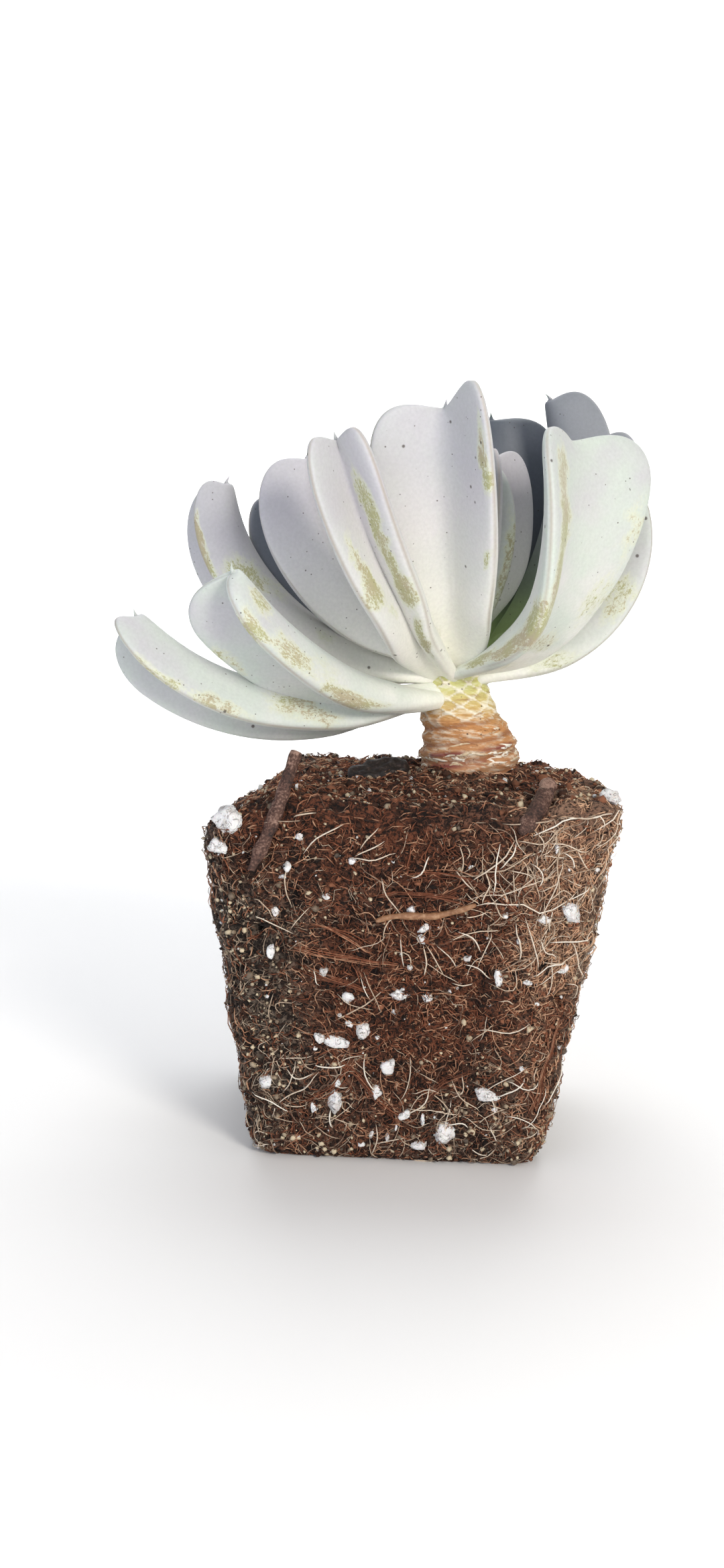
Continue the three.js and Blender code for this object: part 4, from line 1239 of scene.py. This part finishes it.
def grit(rng):
    """Grains of grit, most of them where the mix is gritty, and half of them on the front."""
    count = GRIT["count"]
    around = np.concatenate([rng.uniform(*AROUND[place], count) for place in ("front", "behind")])
    rng.shuffle(around)
    z = rng.uniform(1, BALL_HEIGHT - 1, len(around))
    side = side_point(around, z, np.full(len(around), 0.15))
    side = side[rng.random(len(side)) < grey_share(*side.T)][:count]
    centres = np.concatenate([side, over_top(rng, count // 3, TOP_REACH, 0.3)])
    size = grain_sizes(rng, GRIT, len(centres))
    grains(rng, "grit", 1, centres, size, rng.random(len(centres)) ** 0.7, washed_grit())


def peat_crumbs(rng):
    """Crumbs of peat, half of them on the front and the largest on the top."""
    on_front, on_top = PEAT["count"] // 2, PEAT["count"] // 5
    counts = {"front": on_front, "behind": PEAT["count"] - on_front - on_top}
    around = np.concatenate([rng.uniform(*AROUND[place], count) for place, count in counts.items()])
    side = side_point(around, rng.uniform(0.5, BALL_HEIGHT - 1, len(around)), np.full(len(around), 0.1))
    centres = np.concatenate([side, over_top(rng, on_top, TOP_REACH + 1, 0.1)])
    size = grain_sizes(rng, PEAT, len(centres))
    size[: len(side)] = np.minimum(size[: len(side)], PEAT["side_limit"])
    size[len(side) :] *= PEAT["top_growth"]
    tones = rng.random(len(centres)) * (0.95 - 0.5 * grit_share(*centres.T)) + 0.4 * tan_share(*centres.T)
    grains(rng, "peat_crumbs", 1, centres, size * (1, 1, 0.8), tones, crumbled_peat(), 0.3)


class ECHEVERIA_OT_grains(bpy.types.Operator):
    """Perlite, grit and crumbs that stand in the mix"""

    bl_idname = "echeveria.grains"
    bl_label = "Perlite and grit"

    def execute(self, context):
        rng = np.random.default_rng(SEEDS["grains"])
        white = puffed_perlite(context.scene.echeveria_ball)
        for add in (large_perlite, small_perlite, perlite_crumbs):
            add(rng, white)
        grit(rng)
        peat_crumbs(rng)
        return {"FINISHED"}


# Litter


def twigs():
    """Two bits of twig that lean over the rim, with a pale cut end."""
    bark = weathered_bark()
    for name, (low, high, radius) in TWIGS.items():
        rod = rod_template(20, ROD_STEPS)
        t = np.linspace(0, 1, ROD_STEPS)
        sway = np.stack([0.5 * np.sin(t * 4), 0.3 * np.cos(t * 5), np.zeros(ROD_STEPS)], -1)
        girth = radius * (1 + 0.1 * np.sin(t * 17) * np.sin(t * 5) + 0.08 * lumps(t * 30, 0, 0, 3))
        girth = girth * (0.55 + 0.45 * smooth(t / 0.2))
        girth[-2:] *= (0.97, 0.86)
        points = bent_rod(rod, np.linspace(low, high, ROD_STEPS) + sway, girth, (0, -1, 0.2))
        x, y, z = points.T
        rough = np.stack([lumps(x, y, z, 1.1), lumps(y, z, x, 1.1), lumps(z, x, y, 1.1)], -1)
        put_points(rod, points + 0.2 * rough)
        cut = points_of(rod)[:, 2] > (high[2] - CUT_END) * MM
        mark(rod, "tone", 0.45 + 0.3 * lumps(x, y, z, 2.5) + 0.5 * cut)
        finish_piece(rod, f"{name}_bark", bark, [name])


def thick_root():
    """One thick root that runs across the front face, half sunk in the mix."""
    rod = rod_template(14, ROD_STEPS)
    x, z = through(LONG_ROOT["route"], ROD_STEPS).T
    line = front_place(x, z, np.full(ROD_STEPS, LONG_ROOT["proud"] + 0.2))
    # A running mean keeps the crumbs of the face out of the line of the root
    for axis in range(3):
        line[4:-4, axis] = np.convolve(line[:, axis], np.full(9, 1 / 9), mode="valid")
    t = np.linspace(0, 1, ROD_STEPS)
    girth = LONG_ROOT["radius"] * (0.5 + 0.5 * np.sin(np.pi * t) ** 0.5) * (1 + 0.12 * np.sin(23 * t))
    put_points(rod, bent_rod(rod, line, girth, (0, -1, 0)))
    mark(rod, "tone", np.full(len(rod.data.vertices), 0.5))
    finish_piece(rod, "thick_root", thick_root_skin(), ["long_root"])


def bark_chip():
    """A flat dark chip of bark on the soil, a cube worn round."""
    chip = primitive(bpy.ops.mesh.primitive_cube_add, size=1)
    subdivide(chip, [23])
    u, v, w = (points_of(chip) * 2).T
    round_off = np.maximum(np.sqrt(u**2 + v**2 + 0.35 * w**2), 1) ** 0.6
    taper = 1 - 0.25 * smooth(-u) - 0.12 * smooth(u)
    x = u / round_off * CHIP["long"] / 2 * 1.08
    y = v / round_off * CHIP["wide"] / 2 * taper * 1.1
    z = CHIP["thick"] / 2 + w / round_off * (CHIP["thick"] / 2 + 0.6)
    flat = np.stack([x, y, z], -1)
    rough = np.stack([lumps(*flat.T, 1.6), lumps(*(flat + 30).T, 1.6), lumps(*(flat + 60).T, 1.3)], -1)
    flat = flat + rough * (0.35, 0.35, 0.4)
    turn = np.array(Euler(CHIP["turn"], "ZYX").to_matrix())
    put_points(chip, flat @ turn.T + CHIP["at"])
    mark(chip, "tone", 0.3 + 0.35 * lumps(*(flat + 10).T, 1.2))
    finish_piece(chip, "bark_chip_rough", wet_bark(), ["bark_chip"])


class ECHEVERIA_OT_litter(bpy.types.Operator):
    """The two twigs, the bark chip and the thick root"""

    bl_idname = "echeveria.litter"
    bl_label = "Twigs, bark and thick root"

    def execute(self, context):
        twigs()
        thick_root()
        bark_chip()
        return {"FINISHED"}


# Stem


def leaning_line(z):
    """How far to the right the middle of the neck is at a height."""
    return LEAN["x"] + LEAN["per_up"] * (z - LEAN["z"])


def stem_middle(z):
    """The same for the whole stem, whose foot stands straighter."""
    shift = FOOT_SHIFT["x"] * smooth((STEM_NECK - z) / FOOT_SHIFT["over"])
    return leaning_line(np.maximum(z, STEM_NECK)) + shift


def stem_relief(angle, z, settings):
    """Relief of the stem, the net of fresh scars, the painted shade in the grooves and the red streaks, each
    from 0 to 1.
    """
    slanted = z - RING_SLANT * np.cos(angle)
    spread = STEM_GIRTH * np.cos(angle), STEM_GIRTH * np.sin(angle)
    wobble = 0.6 * lumps(*spread, z * 0.7, 4)
    spacing = settings.ring_spacing / MM
    wave = np.sin(2 * np.pi * (slanted + wobble) / spacing)
    old = smooth((NET_FROM + 3 - z) / 4) * smooth((z - STEM_SOIL) / 3)
    ring = settings.ring_relief / MM * wave * smooth((108 - z) / 8) * smooth((z - STEM_SOIL) / 3)
    wrinkle = 0.3 * lumps(*(s * 0.55 for s in spread), (z - 0.2 * slanted) * 3.1, 3) * old
    wrinkle = wrinkle + 0.16 * lumps(*spread, z * 4, 2.4) * old
    fresh = smooth((z - NET_FROM + 1.5) / 3)
    climb = np.maximum(z, NET_FROM) + np.minimum(slanted - NET_FROM, 0) * OLD_SCARS_CLOSER
    row = (climb + 0.7 * lumps(*spread, z, 4)) / (settings.scar_height / MM)
    column = angle * SCARS_AROUND / (2 * np.pi) + 0.12 * lumps(*spread, z + 40, 4)
    lattice = np.abs(np.sin(np.pi * (column + row)) * np.sin(np.pi * (column - row))) ** 0.5
    ridge = 1 - smooth((lattice - 0.22) / 0.3)
    net = ridge * (fresh + (1 - fresh) * 0.6 * smooth(lumps(*spread, z * 1.4, 2.6) * 2.4 + 0.1))
    raised = settings.net_relief / MM * (ridge * (0.5 + 0.5 * fresh) - 0.4 * fresh)
    relief = ring * (1 - 0.7 * fresh) + wrinkle + raised
    # Painted shade in the troughs between the old rings.
    groove = smooth(-wave * 1.4 - 0.5) * old * 0.7
    upper, lower = (np.exp(-(((slanted - middle) / half) ** 2)) for middle, half in STREAK_BANDS)
    band = upper + lower * (np.cos(angle) < 0.3)
    streak = np.clip(band * smooth(lumps(*spread, z * 0.3, 3.5) * 2.4 + 0.5), 0, 1) * 0.9
    return relief, net, groove, streak


def stem_rod(settings):
    """The stem with its rings and the net of fresh leaf scars, a rod bent to its lean."""
    rod = rod_template(STEM_SIDES, STEM_STEPS)
    shape = points_of(rod)
    z = STEM_FOOT + shape[:, 2] * (STEM_TOP - STEM_FOOT)
    angle = np.arctan2(shape[:, 1], shape[:, 0])
    relief, net, groove, streak = stem_relief(angle, z, settings)
    radius = np.interp(z, *STEM_RADII) + relief
    x = stem_middle(z) + radius * np.cos(angle)
    put_points(rod, np.stack([x, radius * np.sin(angle), z], -1))
    height = (z - STEM_SOIL) / (STEM_TOP - STEM_SOIL)
    for name, values in (("height", height), ("net", net), ("groove", groove), ("streak", streak)):
        mark(rod, name, values)
    finish_piece(rod, "stem_skin", scarred_stem_skin(settings), ["stem"])


def stem_flakes(settings):
    """Papery flakes of old skin that stand off the stem, most of them in one band."""
    rng = np.random.default_rng(SEEDS["flakes"])
    t = np.linspace(0, 1, FLAKE_STEPS)
    start = rng.uniform(0, 2 * np.pi, FLAKES)[:, None]
    span = rng.uniform(0.1, 0.5, FLAKES)[:, None]
    angle = start + span * t
    in_band = rng.random(FLAKES) < FLAKE_BAND["share"]
    banded = rng.normal(FLAKE_BAND["middle"], FLAKE_BAND["spread"], FLAKES)
    rise = np.where(in_band, banded, rng.uniform(*FLAKE_HEIGHTS, FLAKES))
    rise = rise[:, None] + rng.uniform(-0.5, 0.5, FLAKES)[:, None] * t
    level = rise + RING_SLANT * np.cos(angle) * 0.9 + 0.3 * np.sin(angle * 9 + start * 40)
    skin = stem_relief(angle, level, settings)[0]
    off = rng.uniform(0.0, 0.25, FLAKES)[:, None] * (0.2 + t**2)
    radius = np.interp(level, *STEM_RADII) + skin + off
    paths = np.stack([stem_middle(level) + radius * np.cos(angle), radius * np.sin(angle), level], -1)
    away = np.stack([np.cos(angle), np.sin(angle), np.zeros_like(angle)], -1)
    wide = rng.uniform(0.14, 0.5, FLAKES)[:, None] * np.sin(np.pi * (0.04 + 0.92 * t)) ** 0.8
    template = rod_template(6, FLAKE_STEPS)
    points = lay_along(template, paths, wide, np.full_like(wide, 0.035), away)
    piece = copies(template, "stem_flakes", points)
    mark(piece, "tone", np.repeat(rng.uniform(0.2, 1, FLAKES), points.shape[1]))
    finish_piece(piece, "stem_flakes", flake_paper())


class ECHEVERIA_OT_stem(bpy.types.Operator):
    """The stem with its rings, the net of fresh leaf scars, and papery flakes of old skin"""

    bl_idname = "echeveria.stem"
    bl_label = "Stem"

    def execute(self, context):
        stem_rod(context.scene.echeveria_stem)
        stem_flakes(context.scene.echeveria_stem)
        return {"FINISHED"}


# Leaves


def leaf_spine(form, length):
    """Points along the middle of a leaf and its directions, for shares of the length from 0 to the reach."""
    t = np.linspace(0, SPINE_REACH, SPINE_STEPS + 1)
    slope = np.radians(form["rise"] + form["curl"] * t ** form["curl_power"])
    heading = np.radians(form["azimuth"] + form["bend"] * t)
    ahead = np.stack([np.cos(slope) * np.cos(heading), np.cos(slope) * np.sin(heading), np.sin(slope)], -1)
    step = length * (t[1] - t[0])
    walk = np.concatenate([np.zeros((1, 3)), np.cumsum((ahead[1:] + ahead[:-1]) / 2 * step, 0)])
    azimuth = math.radians(form["azimuth"])
    foot = np.array([leaning_line(form["z"]), 0, form["z"]], float)
    foot[:2] += LEAF_FOOT_OUT * math.cos(azimuth), LEAF_FOOT_OUT * math.sin(azimuth)

    def spine(q):
        at = np.stack([np.interp(q, t, walk[:, axis]) for axis in range(3)], -1) + foot
        s, h = np.interp(q, t, slope), np.interp(q, t, heading)
        along = np.stack([np.cos(s) * np.cos(h), np.cos(s) * np.sin(h), np.sin(s)], -1)
        outward = np.stack([np.sin(s) * np.cos(h), np.sin(s) * np.sin(h), -np.cos(s)], -1)
        sideways = np.cross(along, outward)
        turn = (math.radians(form["twist"]) * smooth(q / 0.5))[..., None]
        across = sideways * np.cos(turn) + outward * np.sin(turn)
        away = outward * np.cos(turn) - sideways * np.sin(turn)
        return at, along, across, away

    return spine


def leaf_rings(form):
    """Share of the length, half width, lobe and fullness at each ring, from the foot to the tip."""
    half = form["width"] / 2
    body = np.arange(BODY_RINGS) / BODY_RINGS
    swell = np.sin(body * np.pi / 2) ** 1.15
    tip = np.arange(TIP_RINGS) / TIP_RINGS
    angle = np.pi / 2 * (1 - (1 - tip) ** 1.35)
    q = np.concatenate([form["widest"] * body, form["widest"] + (1 - form["widest"]) * np.sin(angle)])
    wide = half * np.concatenate([form["base"] + (1 - form["base"]) * swell, np.cos(angle) ** 0.8])
    lobe = form["lobe"] * np.concatenate([np.zeros(BODY_RINGS), np.sin(2 * angle)])
    full = np.concatenate([np.ones(BODY_RINGS), np.cos(angle)])
    return q, wide, lobe, full


def leaf_needle(spine, length, order, angle):
    """The small point at the tip of a leaf, where order runs from 0 at its root to 1 at its end."""
    at, ahead, across, away = spine(np.ones(1))
    thin = 0.62 * (1 - order) ** 1.3
    middle = at + ahead * (length * 0.95 * order) - away * (0.5 * length * order**1.6)
    return middle + across * (thin * np.cos(angle)) + away * (thin * np.sin(angle))


def leaf_points(form, settings, number, line, angle):
    """Places the points of a sphere, by their ring and their angle round it, on the leaf."""
    length = form["length"]
    spine = leaf_spine(form, length)
    q_rings, wide_rings, lobe_rings, full_rings = leaf_rings(form)
    rings = BODY_RINGS + TIP_RINGS
    pick = np.clip(line - 1, 0, rings - 1)
    q, wide, lobe, full = q_rings[pick], wide_rings[pick], lobe_rings[pick], full_rings[pick]
    groove = settings.groove
    span = math.hypot(1, groove) - groove
    fold = np.radians(form["fold"]) * (0.35 + 0.65 * smooth(q / 0.35))
    taper = (0.62 + 0.38 * smooth(q / 0.3)) * (1 - 0.25 * smooth((q - 0.5) / 0.5))
    v = signed_power(np.cos(angle), MARGIN_ROUNDNESS)
    face = signed_power(np.sin(angle), FACE_FULLNESS)
    thick = settings.thick / MM * taper * (0.3 + 0.7 * np.sqrt(full)) * (1 - MARGIN_THINNING * v * v)
    wide = wide * (1 + form["lop"] * v)
    bow = np.hypot(v, groove)
    slope = unit(np.stack([np.cos(fold), np.sin(fold) * v / bow / span], -1))
    hollow = np.where(face > 0, 1 - 0.4 * (1 - v * v) ** 2, 1)
    lift = face * thick * hollow / 2
    wave = 0.5 * lumps(q * length, v * 4, number * 17.0, 16) * smooth(q / 0.3)
    x = wide * v * np.cos(fold) - slope[:, 1] * lift
    y = wide * np.sin(fold) * (bow - groove) / span + slope[:, 0] * lift + wave * (0.3 + v * v)
    reach = lobe * v * v * (1 + form["skew"] * v)
    at, _, across, away = spine(q + reach / length)
    points = at + across * x[:, None] + away * y[:, None]
    order = np.clip((line - rings) / POINT_RINGS, 0, 1)
    needle = leaf_needle(spine, settings.point / MM, order[:, None], angle[:, None])
    foot, ahead, _, _ = spine(np.zeros(1))
    points = np.where((line > rings)[:, None], needle, points)
    points = np.where((line == 0)[:, None], foot - 0.5 * ahead, points)
    return points, np.where(line > rings, 1.0, q), v, face


def mark_leaf(blade, number, form, points, q, v, face):
    """What the leaf skin reads: where it is rubbed, thin at the edge, mint green, and its painted shade in
    slate.
    """
    rub = MARGIN_RUB * smooth((np.abs(v) - 0.86) / 0.14) * smooth(lumps(q * 30, v, number * 5.0, 5) * 2)
    ragged = RAGGED * lumps(q * 60, v * 10, number * 7.0, 2)
    for at, side, outer, long, wide, depth in RUBS.get(number, ()):
        away = ((q - at) / long) ** 2 + ((v - side + ragged) / wide) ** 2
        rub = np.maximum(rub, 1.08 * depth * np.exp(-(away**1.7)) * (outer * face >= 0))
    thin_edge = (0.55 + 0.35 * lumps(q * 40, v, number * 3.0, 4)) * smooth((q - 0.1) / 0.2)
    inside = smooth(-face * 1.5)
    mint, slate = TINTS.get(number, PLAIN_TINT)
    # Painted shade: strongest on the inner face, none at the foot, a little mottled.
    slate = slate * (0.3 + 0.7 * inside) * smooth(q / 0.4)
    stretched = (q * form["length"] * STROKE_STRETCH, v * form["width"] / 2, face + number * 9)
    mark(blade, "along", q)
    mark(blade, "rub", rub)
    mark(blade, "rim", thin_edge * smooth((0.3 - np.abs(face)) / 0.3))
    mark(blade, "inner", inside * (number > FRONT_LEAVES))
    mark(blade, "lie", np.stack(stretched, -1) * MM)
    mark(blade, "mint", np.full(len(q), mint))
    mark(blade, "slate", slate * (0.8 + 0.2 * lumps(*points.T, 9)))


class ECHEVERIA_OT_leaves(bpy.types.Operator):
    """The thick waxy leaves, each a sphere bent to a grooved blade with two lobes and a point"""

    bl_idname = "echeveria.leaves"
    bl_label = "Leaves"

    def execute(self, context):
        settings = context.scene.echeveria_leaf
        skin = waxy_leaf_skin(settings)
        lines = BODY_RINGS + TIP_RINGS + POINT_RINGS + 1
        for number, row in enumerate(LEAVES, 1):
            form = {**LEAF_FORM, **row}
            blade = primitive(
                bpy.ops.mesh.primitive_uv_sphere_add, segments=LEAF_SEGMENTS, ring_count=lines, radius=1
            )
            shape = points_of(blade)
            line = np.rint(np.arccos(np.clip(-shape[:, 2], -1, 1)) / np.pi * lines).astype(int)
            angle = np.arctan2(shape[:, 1], shape[:, 0])
            points, q, v, face = leaf_points(form, settings, number, line, angle)
            put_points(blade, points)
            mark_leaf(blade, number, form, points, q, v, face)
            finish_piece(blade, f"leaf_{number:02d}_blade", skin, [f"leaf_{number:02d}"])
        return {"FINISHED"}


# Stage


def soft_light(name, power, at, size, colour, target):
    """A square area light that looks at its target."""
    light = bpy.data.lights.new(name, "AREA")
    light.energy = power
    light.size = size
    light.color = srgb(colour)[:3]
    lamp = bpy.data.objects.new(name, light)
    lamp.location = at
    direction = np.array(at) - np.array(target)
    lamp.rotation_euler = (
        math.atan2(math.hypot(direction[0], direction[1]), direction[2]),
        0,
        math.atan2(direction[0], -direction[1]),
    )
    bpy.context.scene.collection.objects.link(lamp)


def swept_floor(settings):
    """A pale floor that bends up to a backdrop."""
    floor = primitive(bpy.ops.mesh.primitive_grid_add, x_subdivisions=2, y_subdivisions=60, size=2)
    u, v, _ = points_of(floor).T
    run = FLOOR_NEAR + (v + 1) / 2 * FLOOR_RUN
    bend = np.clip((run - FLOOR_BEND_START) / FLOOR_BEND_RUN, 0, 1) * np.pi / 2
    y = np.minimum(run, FLOOR_BEND_START) + FLOOR_BEND_RADIUS * np.sin(bend)
    rise = np.maximum(run - FLOOR_BEND_START - FLOOR_BEND_RUN, 0)
    z = FLOOR_BEND_RADIUS * (1 - np.cos(bend)) + rise
    floor.data.vertices.foreach_set("co", np.stack([u * FLOOR_HALF_WIDTH, y, z], -1).ravel())
    floor.name = "floor"
    floor.data.materials.append(floor_paint(settings))
    floor.data.shade_smooth()


def studio_world():
    """Even pale light from all round."""
    world = bpy.data.worlds.new("studio")
    world.use_nodes = True
    background = world.node_tree.nodes["Background"]
    background.inputs["Color"].default_value = srgb(WORLD["colour"])
    background.inputs["Strength"].default_value = WORLD["strength"]
    bpy.context.scene.world = world


def front_camera():
    """The camera that took the photo, as worked out from the outline of the ball."""
    camera = bpy.data.cameras.new("camera")
    camera.sensor_fit = "VERTICAL"
    camera.sensor_width = CAMERA["sensor"]
    camera.sensor_height = CAMERA["sensor"]
    camera.lens = CAMERA["lens"]
    eye = bpy.data.objects.new("camera", camera)
    place = Matrix.Translation([value * MM for value in CAMERA["at"]])
    tilt = Matrix.Rotation(math.radians(CAMERA["tilt"]), 4, "X")
    roll = Matrix.Rotation(math.radians(CAMERA["roll"]), 4, "Z")
    eye.matrix_world = place @ tilt @ roll
    bpy.context.scene.collection.objects.link(eye)
    bpy.context.scene.camera = eye


class ECHEVERIA_OT_stage(bpy.types.Operator):
    """A pale floor swept up to a backdrop, soft lights, and the camera"""

    bl_idname = "echeveria.stage"
    bl_label = "Floor, lights and camera"

    def execute(self, context):
        settings = context.scene.echeveria_stage
        swept_floor(settings)
        for name, light in LIGHTS.items():
            soft_light(name, getattr(settings, name), **light)
        studio_world()
        front_camera()
        context.scene.view_settings.view_transform = "Standard"
        return {"FINISHED"}


OPERATORS = (
    ECHEVERIA_OT_root_ball,
    ECHEVERIA_OT_fibres,
    ECHEVERIA_OT_grains,
    ECHEVERIA_OT_litter,
    ECHEVERIA_OT_stem,
    ECHEVERIA_OT_leaves,
    ECHEVERIA_OT_stage,
)
SETTINGS = {
    "echeveria_leaf": LeafSettings,
    "echeveria_stem": StemSettings,
    "echeveria_ball": BallSettings,
    "echeveria_stage": StageSettings,
}


class ECHEVERIA_PT_panel(bpy.types.Panel):
    """Lists the pieces of the plant and their sizes and colours"""

    bl_idname = "ECHEVERIA_PT_panel"
    bl_label = "Echeveria"
    bl_space_type = "VIEW_3D"
    bl_region_type = "UI"
    bl_category = "Echeveria"

    def draw(self, context):
        for operator in OPERATORS:
            self.layout.operator(operator.bl_idname)
        for name, kind in SETTINGS.items():
            box = self.layout.box()
            for setting in kind.__annotations__:
                box.prop(getattr(context.scene, name), setting)


def register():
    for kind in (*SETTINGS.values(), *OPERATORS, ECHEVERIA_PT_panel):
        bpy.utils.register_class(kind)
    for name, kind in SETTINGS.items():
        setattr(bpy.types.Scene, name, bpy.props.PointerProperty(type=kind))


def unregister():
    for name in SETTINGS:
        delattr(bpy.types.Scene, name)
    for kind in (ECHEVERIA_PT_panel, *OPERATORS, *SETTINGS.values()):
        bpy.utils.unregister_class(kind)


def main():
    register()
    bpy.ops.echeveria.root_ball()
    bpy.ops.echeveria.fibres()
    bpy.ops.echeveria.grains()
    bpy.ops.echeveria.litter()
    bpy.ops.echeveria.stem()
    bpy.ops.echeveria.leaves()
    bpy.ops.echeveria.stage()


if __name__ == "__main__":
    main()
